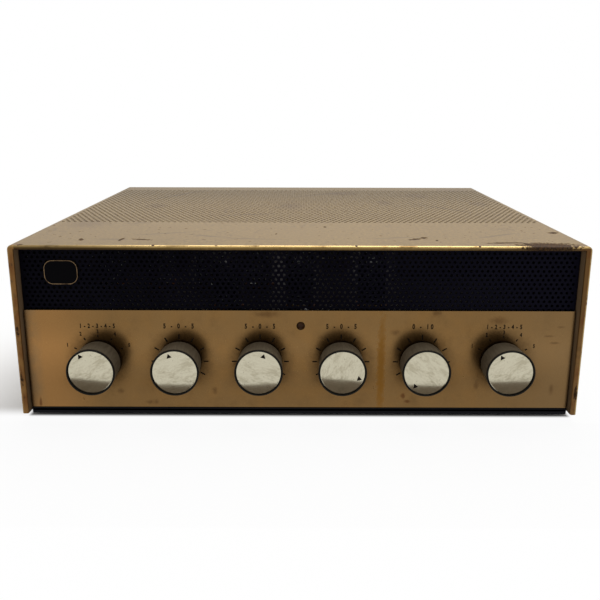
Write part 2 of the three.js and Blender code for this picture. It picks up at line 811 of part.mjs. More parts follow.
function outputTransformer(x) {
  const halfStack = outputStack / 2;
  const top = deckSeat + outputHeight;
  const halfX = outputWidth / 2;
  const stack = block(x - halfX, x + halfX, outputY - halfStack, outputY + halfStack, deckSeat, top);
  const coil = block(x - outputCoilWidth / 2, x + outputCoilWidth / 2,
    outputY - outputCoilDepth / 2, outputY + outputCoilDepth / 2,
    deckSeat + outputCoilMargin, top - outputCoilMargin);
  const clampX = halfX + clampSheet;
  const clampTop = top + clampSheet;
  const clamp = block(x - clampX, x + clampX, outputY - halfStack, outputY + halfStack, deckSeat, clampTop);
  const feet = block(x - clampReach, x + clampReach, outputY - halfStack, outputY + halfStack,
    deckSeat, deckSeat + clampSheet);
  return joined([stack, coil, clamp, feet]);
}

function filterCapacitor() {
  const base = deckSeat;
  const grooveStart = base + canGrooveRise;
  const grooveMiddle = grooveStart + canGrooveHeight / 2;
  const top = underTop - canHeadroom;
  return turnedUpright([
    [0, base],
    [canBaseRadius, base],
    [canBaseRadius, base + canBaseHeight],
    [canRadius, base + canBaseHeight],
    [canRadius, grooveStart],
    [canRadius - canGrooveDepth, grooveMiddle],
    [canRadius, grooveStart + canGrooveHeight],
    [canRadius, top - canRoll],
    [canRadius - canRoll, top],
    [0, top],
  ], canSides, canX, outputY);
}

// Ten phono jacks on one insulating strip, in two rows, one for each channel.
function jackStrip() {
  const front = rearFace + seatGap;
  const back = front + jackStripThickness;
  const strip = block(jackStripX - jackStripWidth / 2, jackStripX + jackStripWidth / 2, front, back,
    jackZ - jackStripHeight / 2, jackZ + jackStripHeight / 2);
  const shells = [];
  const bores = [];
  for (const [x, z] of jackPlaces()) {
    shells.push(turnedAlongY([
      [0, front - jackBackLength],
      [jackBackRadius, front - jackBackLength],
      [jackBackRadius, back - jackStripThickness / 2],
      [jackRadius, back - jackStripThickness / 2],
      [jackRadius, front + jackReach],
      [0, front + jackReach],
    ], jackSides, x, z));
    bores.push(rodAlongY(jackBoreRadius, front, front + jackReach + cutOverrun, jackSides, x, z));
  }
  return joined([strip, ...shells], bores);
}

// A screw-terminal strip. A solder tab goes through the rear apron behind each screw.
function terminalStrip() {
  const front = rearFace + seatGap;
  const back = front + terminalStripThickness;
  const pieces = [block(terminalX - terminalStripWidth / 2, terminalX + terminalStripWidth / 2, front, back,
    terminalZ - terminalStripHeight / 2, terminalZ + terminalStripHeight / 2)];
  for (let i = 0; i < terminals; i += 1) {
    const x = terminalX + rowOffset(i, terminals, terminalPitch);
    pieces.push(rodAlongY(terminalScrewRadius, front, back + terminalScrewHeight, jackSides, x, terminalZ));
    pieces.push(block(x - terminalTabWidth / 2, x + terminalTabWidth / 2,
      rearFace - chassisSheet - terminalTabHeight, back - terminalStripThickness / 2,
      terminalZ - terminalTabHeight / 2, terminalZ + terminalTabHeight / 2));
  }
  return joined(pieces);
}

function fuseHolder() {
  const flange = rearFace + seatGap;
  const capStart = flange + fuseFlangeThickness;
  return turnedAlongY([
    [0, rearFace - fuseBodyLength],
    [fuseBodyRadius, rearFace - fuseBodyLength],
    [fuseBodyRadius, flange],
    [fuseFlangeRadius, flange],
    [fuseFlangeRadius, capStart],
    [fuseCapRadius, capStart],
    [fuseCapRadius, capStart + fuseCapLength],
    [0, capStart + fuseCapLength],
  ], smallSides, fuseX, fuseZ);
}

// A rubber ring grips the edge of its hole from both sides. The mains cord goes through it.
function cordGrommet() {
  const inside = rearFace - chassisSheet - seatGap;
  const outside = rearFace + seatGap;
  return turnedAlongY([
    [grommetBoreRadius, inside - grommetLip],
    [grommetFlangeRadius, inside - grommetLip],
    [grommetFlangeRadius, inside],
    [grommetNeckRadius, inside],
    [grommetNeckRadius, outside],
    [grommetFlangeRadius, outside],
    [grommetFlangeRadius, outside + grommetLip],
    [grommetBoreRadius, outside + grommetLip],
    [grommetBoreRadius, inside - grommetLip],
  ], smallSides, grommetX, grommetZ);
}

addPiece('top_cover', topCover(), coverPaint);
addPiece('bottom_plate', bottomPlate(), blackPaint);
addPiece('front_panel', frontPanel(), panelPaint);
addPiece('front_grille', frontGrille(), blackPaint);
addPiece('blank_plate', blankPlate(), giltRim);
addPiece('chassis', chassis(), chassisPlate);
addPiece('rear_screen', rearScreen(), blackPaint);
addPiece('pilot_lens', pilotLens(), lensPlastic);
addPiece('pilot_lamp_holder', pilotLampHolder(), brightSteel);

const footNames = ['foot_front_left', 'foot_front_right', 'foot_rear_left', 'foot_rear_right'];
footPlaces().forEach(([x, y], i) => addPiece(footNames[i], rubberFoot(x, y), rubber));

const controlNames = ['function', 'balance', 'treble', 'bass', 'volume', 'selector'];
const switched = ['function', 'selector'];
controlNames.forEach((name, i) => {
  const place = new THREE.Group();
  place.position.set(controlXs[i], panelRecess, controlHeight);
  amplifier.add(place);
  if (switched.includes(name)) {
    addPiece(`${name}_switch`, rotarySwitch(), chassisPlate, place);
  } else {
    addPiece(`${name}_pot`, potentiometer(), chassisPlate, place);
  }
  const turning = new THREE.Group();
  turning.rotation.y = THREE.MathUtils.degToRad(restAngles[name]);
  place.add(turning);
  addPiece(`${name}_shaft`, controlShaft(), brightSteel, turning);
  addPiece(`${name}_knob`, knobBody(), knobPlastic, turning);
  addPiece(`${name}_knob_cap`, knobCap(), aluminium, turning);
});

const tubeNames = [
  ...Array.from({ length: preampTubes }, (unused, i) => `preamp_tube_${i + 1}`),
  ...Array.from({ length: outputTubes }, (unused, i) => `output_tube_${i + 1}`),
];
tubePlaces().forEach(([x, y, radius, height], i) => {
  addPiece(`${tubeNames[i]}_socket`, tubeSocket(x, y), phenolic);
  addPiece(tubeNames[i], electronTube(x, y, radius, height), glass);
});

addPiece('power_transformer_core', powerTransformerCore(), lamination);
addPiece('power_transformer_cover', powerTransformerCover(), coverSteel);
for (let i = 0; i < outputTransformers; i += 1) {
  const x = outputX + rowOffset(i, outputTransformers, outputPitch);
  addPiece(`output_transformer_${i + 1}`, outputTransformer(x), lamination);
}
addPiece('filter_capacitor', filterCapacitor(), aluminium);
addPiece('input_jack_strip', jackStrip(), phenolic);
addPiece('speaker_terminal_strip', terminalStrip(), phenolic);
addPiece('fuse_holder', fuseHolder(), rubber);
addPiece('cord_grommet', cordGrommet(), rubber);

// The knobs' faces are the front of the object, and the cover's rear edge is its back.
amplifier.position.set(0, -(frontMost + caseDepth) / 2, footHeight);

export default amplifier;
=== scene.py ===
# %% [markdown]
# # A tube integrated amplifier, dressed
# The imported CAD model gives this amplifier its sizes, its joints and its hidden parts. Here it
# gets its looks. Where the real surface has finer form than the CAD solid, a new piece replaces
# the solid. Where the solid's form is right, it stays and gets a better material. The first cell
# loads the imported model, which then serves as a fixed frame for everything else.

# %% Load the frame
import json
from math import asin, cos, degrees, pi, radians, sin, sqrt, tan

import bmesh
import bpy
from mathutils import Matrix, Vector
from mathutils.geometry import tessellate_polygon


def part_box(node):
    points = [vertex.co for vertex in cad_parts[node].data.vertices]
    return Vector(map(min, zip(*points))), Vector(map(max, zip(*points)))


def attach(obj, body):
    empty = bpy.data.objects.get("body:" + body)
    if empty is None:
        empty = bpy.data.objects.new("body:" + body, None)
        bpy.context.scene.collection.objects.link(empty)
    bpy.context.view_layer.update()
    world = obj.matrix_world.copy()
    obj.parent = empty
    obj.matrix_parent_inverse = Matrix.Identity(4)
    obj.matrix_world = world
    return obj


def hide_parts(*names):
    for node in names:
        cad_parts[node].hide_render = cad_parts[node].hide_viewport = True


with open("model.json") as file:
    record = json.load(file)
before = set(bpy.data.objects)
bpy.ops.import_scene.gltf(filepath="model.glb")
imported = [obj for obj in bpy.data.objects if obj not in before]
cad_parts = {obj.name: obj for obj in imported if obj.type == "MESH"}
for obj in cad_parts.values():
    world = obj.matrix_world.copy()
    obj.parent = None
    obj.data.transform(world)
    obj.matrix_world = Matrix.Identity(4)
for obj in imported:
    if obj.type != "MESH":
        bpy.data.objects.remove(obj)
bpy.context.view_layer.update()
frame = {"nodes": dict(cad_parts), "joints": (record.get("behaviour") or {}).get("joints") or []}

MM = 0.001                                   # the meshes are worked out in millimetres
GAP = 0.3                                    # the CAD model keeps this between neighbours
CONTROLS = ["function", "balance", "treble", "bass", "volume", "selector"]
SWITCHES = ("function", "selector")
nodes = frame["nodes"]


def box_mm(node):
    """A CAD node's lowest corner, its highest corner and its middle, in millimetres."""
    low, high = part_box(node)
    return low / MM, high / MM, (low + high) / 2 / MM


def linked(name, data):
    """A new object of the scene that holds some data."""
    made = bpy.data.objects.new(name, data)
    bpy.context.scene.collection.objects.link(made)
    return made


# %% [markdown]
# ## Camera
# The photograph was taken from in front and a little above, with its frame shifted down like a
# view camera's. A tilt alone could frame the object too, but then the uprights would lean more
# than they do. So the camera has the tilt that the case corners give, plus a small shift.

# %% Place the camera
CAMERA_PLACE, CAMERA_TURN = (0.8, -513.6, 197.2), (90 - 12.85, -0.13, 0.11)
camera_data = bpy.data.cameras.new("camera")
camera_data.lens, camera_data.sensor_width, camera_data.shift_y = 39.07, 36, -0.079
camera = linked("camera", camera_data)
camera.location = Vector(CAMERA_PLACE) * MM
camera.rotation_euler = [radians(angle) for angle in CAMERA_TURN]
bpy.context.scene.camera = camera
print("camera at", [round(c, 3) for c in camera.location])

# %% [markdown]
# ## Shader maths as Python
# A material is a tree of nodes. Wiring one by hand takes several lines for each sum, so one small
# class wraps a socket. Arithmetic on it adds Math nodes, and any other node comes from its
# `node` method, which takes the node's type, its settings and what feeds its sockets.


# %% Wrap a socket
class Wire:
    """A socket in a tree of shader nodes. Arithmetic on it adds Math nodes."""

    def __init__(self, tree, socket=None):
        self.tree, self.socket = tree, socket

    def node(self, kind, settings=None, values=None, output=0):
        """Adds a node, settles it, feeds its sockets, and returns one of its outputs."""
        made = self.tree.nodes.new(kind)
        for name, setting in (settings or {}).items():
            setattr(made, name, setting)
        for name, value in (values or {}).items():
            if isinstance(value, Wire):
                self.tree.links.new(value.socket, made.inputs[name])
            else:
                made.inputs[name].default_value = value
        return Wire(self.tree, made.outputs[output] if made.outputs else None)

    def maths(self, operation, *terms):
        return self.node("ShaderNodeMath", {"operation": operation}, dict(enumerate(terms)))

    def __add__(self, other):
        return self.maths("ADD", self, other)

    def __sub__(self, other):
        return self.maths("SUBTRACT", self, other)

    def __rsub__(self, other):
        return self.maths("SUBTRACT", other, self)

    def __mul__(self, other):
        return self.maths("MULTIPLY", self, other)

    def __or__(self, other):
        """Where either mask lies: the larger of the two."""
        return self.maths("MAXIMUM", self, other)

    def __abs__(self):
        return self.maths("ABSOLUTE", self)

    __radd__, __rmul__, __ror__ = __add__, __mul__, __or__


# %% [markdown]
# Colours are noted as a painter would read them from a screen, from 0 to 255, and a shader wants
# them linear. Beside that, a few helpers cover what every finish here uses: noise at a size given
# in millimetres, a soft step, a mix of two colours, and soft-edged patches at known places.


# %% Helpers for colours
def tone(red, green, blue):
    """A colour read from a screen, as the linear colour that a shader takes."""
    linear = [(c / 255 / 12.92) if c <= 10 else ((c / 255 + 0.055) / 1.055) ** 2.4
              for c in (red, green, blue)]
    return (*linear, 1.0)


def mixed(share, first, second):
    """A colour between two. Each is a wire, or a colour read from a screen."""
    first, second = (c if isinstance(c, Wire) else tone(*c) for c in (first, second))
    return share.node("ShaderNodeMix", {"data_type": "RGBA"}, {0: share, 6: first, 7: second}, output=2)


def over(colour, *coats):
    """Lays coats over a colour. Each is how much of it covers, and its colour."""
    for share, coat in coats:
        colour = mixed(share, colour, coat)
    return colour


print("white as a shader takes it:", tone(255, 255, 255))


# %% Helpers for patterns
def noise(place, size, detail=3.0, roughness=0.55, offset=(0, 0, 0), stretch=(1, 1, 1)):
    """Soft noise from 0 to 1, whose features are about this many millimetres across."""
    scale = tuple(s / (size * MM) for s in stretch)
    moved = place.node("ShaderNodeMapping", values={"Vector": place, "Location": offset, "Scale": scale})
    return place.node("ShaderNodeTexNoise",
                      values={"Vector": moved, "Scale": 1.0, "Detail": detail, "Roughness": roughness})


def step(value, low, high):
    """0 below low, 1 above high, with a smooth way between. Low may be the larger one."""
    return value.node("ShaderNodeMapRange", {"interpolation_type": "SMOOTHSTEP"},
                      {"Value": value, "From Min": low, "From Max": high})


def axes(place):
    """The three coordinates of a place, in millimetres."""
    return [place.node("ShaderNodeSeparateXYZ", values={"Vector": place}, output=name) * (1 / MM)
            for name in "XYZ"]


def patches(place, marks, ragged, edge=0.25):
    """1 inside any of a list of ellipsoids, with edges that noise makes ragged. Each has a centre
    and radii in millimetres, and a turn about Z in degrees."""
    found = None
    for centre, radii, turn in marks:
        scaled = place.node("ShaderNodeMapping", {"vector_type": "TEXTURE"},
                            {"Vector": place, "Location": tuple(c * MM for c in centre),
                             "Rotation": (0, 0, radians(turn)), "Scale": tuple(r * MM for r in radii)})
        far = place.node("ShaderNodeVectorMath", {"operation": "LENGTH"}, {0: scaled}, output="Value")
        mark = step(far + ragged, 1.0 + edge, 1.0 - edge)
        found = mark if found is None else found | mark
    return found


def bump(height, strength, depth):
    """A normal from a height map whose full height is this many millimetres."""
    return height.node("ShaderNodeBump",
                       values={"Height": height, "Strength": strength, "Distance": depth * MM})


# %% [markdown]
# A finish is written as a recipe: a function that gets the piece's own coordinates and gives the
# values of a Principled shader. `finish` stands above it as a decorator. It makes the material,
# which from then on goes by the recipe's name.


# %% Turn a recipe into a material
def empty_material(name):
    """A material with no shader yet, and the wire of the piece's own coordinates."""
    material = bpy.data.materials.new(name)
    material.use_nodes = True
    material.node_tree.nodes.clear()
    return material, Wire(material.node_tree).node("ShaderNodeTexCoord", output="Object")


def finish(recipe, name=None):
    material, place = empty_material(name or recipe.__name__)
    shader = place.node("ShaderNodeBsdfPrincipled", values=recipe(place))
    place.node("ShaderNodeOutputMaterial", values={"Surface": shader})
    print("finish:", material.name)
    return material


# %% [markdown]
# ## Meshes in millimetres
# Each piece starts as a bmesh in millimetres. `fasten` welds it, turns it into metres, and makes
# it ride on its body, so that no piece can be forgotten when a control turns.

# %% Turn a bmesh into a piece
CREASE = radians(35)                    # a sharper edge than this isn't shaded smooth


def as_object(name, form):
    """Turns a bmesh in millimetres into an object in metres."""
    bmesh.ops.scale(form, vec=(MM, MM, MM), verts=form.verts)
    mesh = bpy.data.meshes.new(name)
    form.to_mesh(mesh)
    form.free()
    return linked(name, mesh)


def welded(form):
    bmesh.ops.remove_doubles(form, verts=form.verts, dist=0.001)
    bmesh.ops.recalc_face_normals(form, faces=form.faces)
    return form


def fasten(name, form, material, body="case", stands_for=None, place=(0, 0, 0), turn=0.0):
    """Makes a piece of the object. Place is in millimetres and turn in degrees about its Y axis."""
    piece = as_object(name, welded(form))
    mesh = piece.data
    mesh.polygons.foreach_set("use_smooth", [True] * len(mesh.polygons))
    mesh.set_sharp_from_angle(angle=CREASE)
    mesh.materials.append(material)
    flat = piece.modifiers.new("flat_faces", "WEIGHTED_NORMAL")
    flat.weight, flat.keep_sharp = 100, True
    piece.location = Vector(place) * MM
    piece.rotation_euler.y = radians(turn)
    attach(piece, body)
    if stands_for:
        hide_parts(stands_for)
    print(f"{name}: {len(mesh.vertices)} vertices")
    return piece


# %% [markdown]
# Most of the small parts are turned on a lathe, so they are drawn as a profile and spun. A real
# edge is never sharp. `eased` rounds chosen corners of a profile, and they then catch the light.


# %% Spin a profile
def circle(x, z, radius, steps=32):
    """A round outline as a list of (x, z)."""
    turns = [2 * pi * k / steps for k in range(steps)]
    return [(x + radius * cos(a), z + radius * sin(a)) for a in turns]


def eased(points, steps=3):
    """Rounds the corners of a profile. A point is (radius, along) or (radius, along, rounding)."""
    smooth = []
    for i, point in enumerate(points):
        corner = Vector(point[:2])
        if len(point) < 3:
            smooth.append(corner)
            continue
        before, after = Vector(points[i - 1][:2]) - corner, Vector(points[i + 1][:2]) - corner
        start = corner + before.normalized() * min(point[2], before.length / 2)
        end = corner + after.normalized() * min(point[2], after.length / 2)
        for s in range(steps + 1):
            t = s / steps
            smooth.append(start * (1 - t) ** 2 + corner * 2 * t * (1 - t) + end * t ** 2)
    return smooth


def bridge(form, near, far):
    """Adds the faces between two closed rows of corners."""
    for k in range(len(near)):
        n = (k + 1) % len(near)
        form.faces.new((near[k], near[n], far[n], far[k]))


def spin(form, points, sides, axis="Y", place=(0, 0, 0)):
    """Adds a turned form to a bmesh. The profile is a list of (radius, along the axis)."""
    rings = []
    for radius, along in eased(points):
        spots = [(c, along, s) if axis == "Y" else (c, s, along) for c, s in circle(0, 0, radius, sides)]
        rings.append([form.verts.new(Vector(spot) + Vector(place)) for spot in spots])
    for lower, upper in zip(rings, rings[1:]):
        bridge(form, lower, upper)
    return form


def rod(form, radius, low, high, sides, place):
    """Adds a plain upright cylinder."""
    return spin(form, [(0, low), (radius, low), (radius, high), (0, high)], sides, "Z", place)


def spin_at(places, points, sides):
    """The same turned form at each of several places."""
    form = bmesh.new()
    for place in places:
        spin(form, points, sides, place=place)
    return form


# %% [markdown]
# ## The cover's vent holes
# The top of the cover has a band of about 3,800 punched holes in staggered rows. They could be a
# dark pattern in the paint, but then the light would not fall into them and they would vanish at
# the edges. Each hole is therefore real: its cell of sheet has a face above, a face below and a
# wall between. The same helper punches the grille behind the front rim.

# %% Punch a staggered field of holes
HOLE_FLATS = 8


def punch_field(form, holes_across, rows, pitch, row_pitch, radius, thickness, start, point):
    """Adds a sheet with staggered holes, centred across and laid from start on.
    point(across, along, deep) places each of its corners."""
    half, left_end = pitch / 2, -pitch / 4 * (2 * holes_across + 1)
    known = {}

    def corner(i, row, deep):
        key = (i, row, deep)
        if key not in known:
            known[key] = form.verts.new(point(left_end + i * half, start + row * row_pitch, deep))
        return known[key]

    for row in range(rows):
        shift = row % 2
        for i in range(shift, shift + 2 * holes_across, 2):
            hole = circle(left_end + (i + 1) * half, start + (row + 0.5) * row_pitch, radius, HOLE_FLATS)
            rims = []
            for deep in (0.0, thickness):
                left, low, right = (corner(i + k, row, deep) for k in range(3))
                back, high, top = (corner(i + k, row + 1, deep) for k in range(3))
                rim = [form.verts.new(point(across, along, deep)) for across, along in hole]
                for face in ((left, low, rim[6], rim[5]), (low, right, rim[7], rim[6]),
                             (right, top, rim[1], rim[0], rim[7]), (top, high, rim[2], rim[1]),
                             (high, back, rim[3], rim[2]), (back, left, rim[5], rim[4], rim[3])):
                    form.faces.new(face)
                rims.append(rim)
            bridge(form, *rims)
        i = 0 if shift else 2 * holes_across
        for deep in (0.0, thickness):
            form.faces.new((corner(i, row, deep), corner(i + 1, row, deep),
                            corner(i + 1, row + 1, deep), corner(i, row + 1, deep)))
    return form


# %% [markdown]
# ## The cover
# The cover is one sheet, folded down at both sides, with a hem turned in along its front edge. Its
# section from rear to front is drawn once: the outside, the rolled hem, then the inside. That
# section is carried along the path of the sheet, up one side, over the top and down the other,
# and the vent field fills the gap left for it in the top.

# %% Measure the cover
low, high, _ = box_mm("top_cover")
HALF_WIDTH, TOP, COVER_FRONT, COVER_REAR, COVER_FOOT = high.x, high.z, low.y, high.y, low.z
COVER_SHEET, COVER_BEND, RIM_DEPTH, PLAIN_DEPTH = 1.2, 3.0, 14.0, 30.0
TOP_RIM, SIDE_RIM = 2.9, 3.9
FRONT_ROLL, HEM_ROLL = 1.5, 0.9
VENT_PITCH, VENT_ROW, VENT_RADIUS = 4.23, 3.8, 1.2
VENT_HOLES, VENT_ROWS, VENT_SETBACK = 81, 47, 79.0
VENT_START = COVER_FRONT + VENT_SETBACK
VENT_END, VENT_HALF = VENT_START + VENT_ROWS * VENT_ROW, VENT_PITCH / 4 * (2 * VENT_HOLES + 1)
print("vent holes:", VENT_HOLES * VENT_ROWS)


# %% Draw the cover's section and path
def cover_section(rim):
    """The sheet's section as a list of (y, depth) where its front rim is a given width."""
    vents = [VENT_START + row * VENT_ROW for row in range(VENT_ROWS + 1)]
    outside = [COVER_REAR, *reversed(vents), COVER_FRONT + PLAIN_DEPTH, COVER_FRONT + RIM_DEPTH]
    section = [(y, 0.0) for y in outside]
    for s in range(6):
        a = pi / 2 * s / 5
        section.append((COVER_FRONT + FRONT_ROLL * (1 - sin(a)), FRONT_ROLL * (1 - cos(a))))
    for s in range(5):
        a = pi / 2 * s / 4
        section.append((COVER_FRONT + HEM_ROLL * (1 - cos(a)), rim - HEM_ROLL * (1 - sin(a))))
    section.append((COVER_FRONT + RIM_DEPTH, rim))
    inside = [COVER_FRONT + RIM_DEPTH, COVER_FRONT + PLAIN_DEPTH, *vents, COVER_REAR]
    return section + [(y, COVER_SHEET) for y in inside]


def cover_path():
    """Stations round the sheet: up the left side, over the top, down the right side."""
    bends = [pi / 2 * s / 6 for s in range(7)]
    tops = [i * VENT_PITCH / 2 - VENT_HALF for i in range(2 * VENT_HOLES + 2)]
    left = [("side", COVER_FOOT, -1), ("side", COVER_FOOT + 50, -1), *[("bend", a, -1) for a in bends]]
    right = [(kind, value, 1) for kind, value, _ in reversed(left)]
    return left + [("top", x, 0) for x in tops] + right


def wall_point(station, y, depth, top_depth):
    """A corner of the folded sheet, at a station of its path and a depth from the side and the top."""
    kind, value, side = station
    if kind == "side":
        return Vector((side * (HALF_WIDTH - depth), y, value))
    if kind == "top":
        return Vector((value, y, TOP - top_depth))
    across, down = max(COVER_BEND - depth, 0.0), max(COVER_BEND - top_depth, 0.0)
    return Vector((side * (HALF_WIDTH - max(COVER_BEND, depth) + across * cos(value)), y,
                   TOP - max(COVER_BEND, top_depth) + down * sin(value)))


# %% Fold the cover
def cover_form():
    form = bmesh.new()
    section, path = cover_section(SIDE_RIM), cover_path()
    top_depths = [depth for _, depth in cover_section(TOP_RIM)]
    grid = [[form.verts.new(wall_point(station, y, depth, top_depth))
             for (y, depth), top_depth in zip(section, top_depths)] for station in path]
    for p in range(len(path) - 1):
        over_vents = path[p][0] == "top" and path[p + 1][0] == "top"
        for q in range(len(section)):
            n = (q + 1) % len(section)
            ys = sorted((section[q][0], section[n][0]))
            if over_vents and ys[0] > VENT_START - 0.01 and ys[1] < VENT_END + 0.01:
                continue
            form.faces.new((grid[p][q], grid[p + 1][q], grid[p + 1][n], grid[p][n]))
    form.faces.new(grid[0])
    form.faces.new(list(reversed(grid[-1])))
    return punch_field(form, VENT_HOLES, VENT_ROWS, VENT_PITCH, VENT_ROW, VENT_RADIUS, COVER_SHEET,
                       VENT_START, lambda x, y, deep: Vector((x, y, TOP - deep)))


# %% [markdown]
# The paint is a gold-tan metallic enamel, sprayed thin. Sixty years have dulled it: the top has
# fine dirt and long scratches, the front bend is rubbed smooth and given a lighter gold as a
# painted highlight, and one long chip at the right end of that bend shows brown, rusted steel.
# The front edge carries painted shade: darker than the top, darker again towards its ends and most
# on the left. The right side rim is painted darker than the left, and darker higher up. The hem's
# inner faces go greyer and then nearly black further in, partly a rough inner coat and partly
# painted shade. The base colour stays close to even, and noise carries the dirt. Each known mark
# is a patch at its own place.


# %% Note the marks on the cover
def on_top(depth, *marks):
    """Marks on the cover's top, each noted as x, y, two half lengths and a turn."""
    return [((x, y, TOP), (long, wide, depth), turn) for x, y, long, wide, turn in marks]


def on_rim(*marks):
    """Marks on the cover's front rim, each noted as its centre and its radii."""
    return [(mark[:3], mark[3:], 0) for mark in marks]


RUBBED_EDGE = TOP - 0.4
COVER_CHIPS = on_top(
    0.8, (127, -122.6, 11, 1.6, 4), (167.5, -90, 3.4, 2.6, 25), (73, -112, 5.0, 2.0, 28),
    (79, -108, 2.0, 2.4, 0), (-136.5, -115.5, 1.4, 3.6, 15), (-111.5, -115, 1.0, 5.0, -8),
    (-99.5, -114.8, 6, 1.6, -14), (17.4, -71, 1.0, 1.8, 0), (85.7, -115.7, 0.8, 1.6, 0),
    (-15.5, -96, 0.7, 2.0, 0))
COVER_CHIPS += on_rim(
    (149, -128.5, RUBBED_EDGE, 18, 6.0, 2.6), (150, -131.8, TOP - 0.9, 17, 3.4, 2.4),
    (-88, -131.4, RUBBED_EDGE, 1.0, 1.0, 0.9), (-50, -131.6, RUBBED_EDGE, 0.8, 0.9, 0.8),
    (34, -131.8, RUBBED_EDGE, 0.7, 0.8, 0.8), (108, -131.8, RUBBED_EDGE, 0.9, 0.8, 0.8),
    (-168, -131, TOP - 0.6, 2, 1.2, 1.2), (-174, -132, 60, 1.2, 1.6, 3), (-174, -132, 28, 1.0, 1.4, 5),
    (174, -132, 20, 1.2, 1.6, 6))
COVER_SCRATCHES = on_top(
    1, (-112, 91, 41, 1.6, 60), (-118.5, -114.4, 11, 1.3, -3), (-88, -95, 16, 1.2, 18),
    (-60, -103, 12, 1.2, -22), (20, 96, 30, 1.5, 35), (120, 10, 26, 1.4, -50), (-40, -20, 22, 1.4, 12),
    (60, -108, 14, 1.0, 9), (-30, -112, 18, 1.0, -5), (128, -100, 16, 1.2, 30))
COVER_STAINS = on_top(
    1, (73, 42, 6, 12, 0), (108, 86, 9, 12, 0), (152, 37, 7, 11, 0), (-8, 24, 9, 14, 0), (-119, 22, 8, 10, 0),
    (150, 128, 16, 10, 0), (40, 100, 12, 10, 0), (-150, -60, 12, 14, 20))
print("marks on the cover:", len(COVER_CHIPS) + len(COVER_SCRATCHES) + len(COVER_STAINS))


# %% Paint the cover
@finish
def cover_enamel(place):
    broad = noise(place, 45, detail=5, roughness=0.6)
    fine = noise(place, 2.2, detail=4, roughness=0.7, offset=(3, 1, 2))
    grit = noise(place, 0.6, detail=2, offset=(7, 5, 1))
    ragged = (noise(place, 1.6, offset=(9, 2, 4)) - 0.5) * 2.2
    cloudy = (noise(place, 6, detail=4, offset=(4, 7, 1)) - 0.5) * 2.0
    bare = patches(place, COVER_CHIPS, ragged)
    scratched = patches(place, COVER_SCRATCHES, ragged * 0.6, edge=0.6)
    stained = patches(place, COVER_STAINS, cloudy, edge=0.7)
    hairs = step(noise(place, 26, detail=2, offset=(5, 1, 0), stretch=(1, 10, 10)), 0.64, 0.74)
    curls = step(abs(noise(place, 13, detail=2, offset=(8, 4, 2)) - 0.5), 0.022, 0.008)
    hairs = (hairs | curls) * step(noise(place, 40, offset=(1, 6, 3)), 0.48, 0.64)
    specks = step(noise(place, 3.6, detail=2, offset=(2, 8, 6)), 0.68, 0.73)
    x, y, z = axes(place)
    side = abs(x)
    outer = (side - (HALF_WIDTH - TOP)) | z
    worn = step(noise(place, 5, offset=(6, 3, 1), stretch=(0.4, 1, 1)), 0.28, 0.5)
    front = step(y, COVER_FRONT + 2.6, COVER_FRONT + 1.5)
    # The rubbed front bend: smoother, with a lighter gold that is a painted highlight on the bend.
    rubbed_and_highlight = step(outer, TOP - 1.5, TOP - 0.9) * front * worn * (1 - step(x, -80, -150) * 0.6)
    # The inner faces behind the front roll: greyer brown, then nearly black further in, partly a rough inner
    # coat and partly painted shade.
    inside = step(outer, TOP - 1.0, TOP - 1.15) * step(y, COVER_FRONT + 0.7, COVER_FRONT + 1.4)
    deep = step(y, COVER_FRONT + 6.5, COVER_FRONT + 9)
    rim_side = front * step(side, HALF_WIDTH - 5, HALF_WIDTH - 4)
    handled = step(noise(place, 6, detail=4, offset=(2, 2, 8), stretch=(1, 1, 0.5)), 0.40, 0.66)
    handled = handled * step(side, 165, 172) * step(y, COVER_FRONT + 9, COVER_FRONT + 3)
    enamel = mixed(step(fine, 0.35, 0.75) * 0.7, (112, 89, 53), mixed(broad, (139, 119, 79), (162, 142, 97)))
    # Painted shade on the front edge: darker than the top, darker again towards its ends and most on the
    # left. The right side rim is painted darker than the left, and darker higher up.
    right_rim = mixed(step(z, 35, 75), (122, 91, 55), (101, 73, 41))
    colour = over(
        enamel, (step(y, 10, 120) * 0.9, (105, 86, 52)), (front * 0.6, (110, 86, 46)),
        (front * step(side, 45, 140) * (1 - rubbed_and_highlight) * 0.7, (70, 52, 30)),
        (front * step(x, -50, -140) * (1 - rim_side) * 0.55, (42, 31, 18)),
        (rim_side * 0.8, mixed(step(x, -100, 100), (132, 96, 54), right_rim)),
        (handled * 0.6, (92, 50, 26)), (stained * 0.4, (90, 68, 42)), (hairs * 0.5, (88, 68, 42)),
        (scratched * 0.65, (84, 66, 44)), (specks * 0.5, (78, 59, 38)), (rubbed_and_highlight, (168, 142, 92)),
        (bare, mixed(step(grit, 0.42, 0.60), (34, 22, 13), (80, 55, 28))),
        (inside, mixed(deep, (128, 105, 78), (32, 25, 18))))
    flaws = bare | specks * 0.8 | inside
    relief = grit * 0.4 + (1 - bare) * 1.6 + fine * 0.3 - scratched * 0.3
    return {"Base Color": colour, "Roughness": 0.36 + fine * 0.16 + flaws * 0.4 - rubbed_and_highlight * 0.2,
            "Specular IOR Level": 0.15, "Metallic": (1 - flaws) * 0.85, "Normal": bump(relief, 0.5, 0.08)}


fasten("cover_shell", cover_form(), cover_enamel, stands_for="top_cover")

# %% [markdown]
# ## The grille
# Behind the front rim stands a sheet of black perforated steel. Its holes are small and close, so
# from the front it reads as a dark texture. Again the holes are real. The lower part of the sheet
# hides behind the panel and only needs the hole for the pilot lens.


# %% Draw outlines
def square_box(x0, x1, z0, z1):
    """A rectangle as a list of (x, z)."""
    return [(x0, z0), (x1, z0), (x1, z1), (x0, z1)]


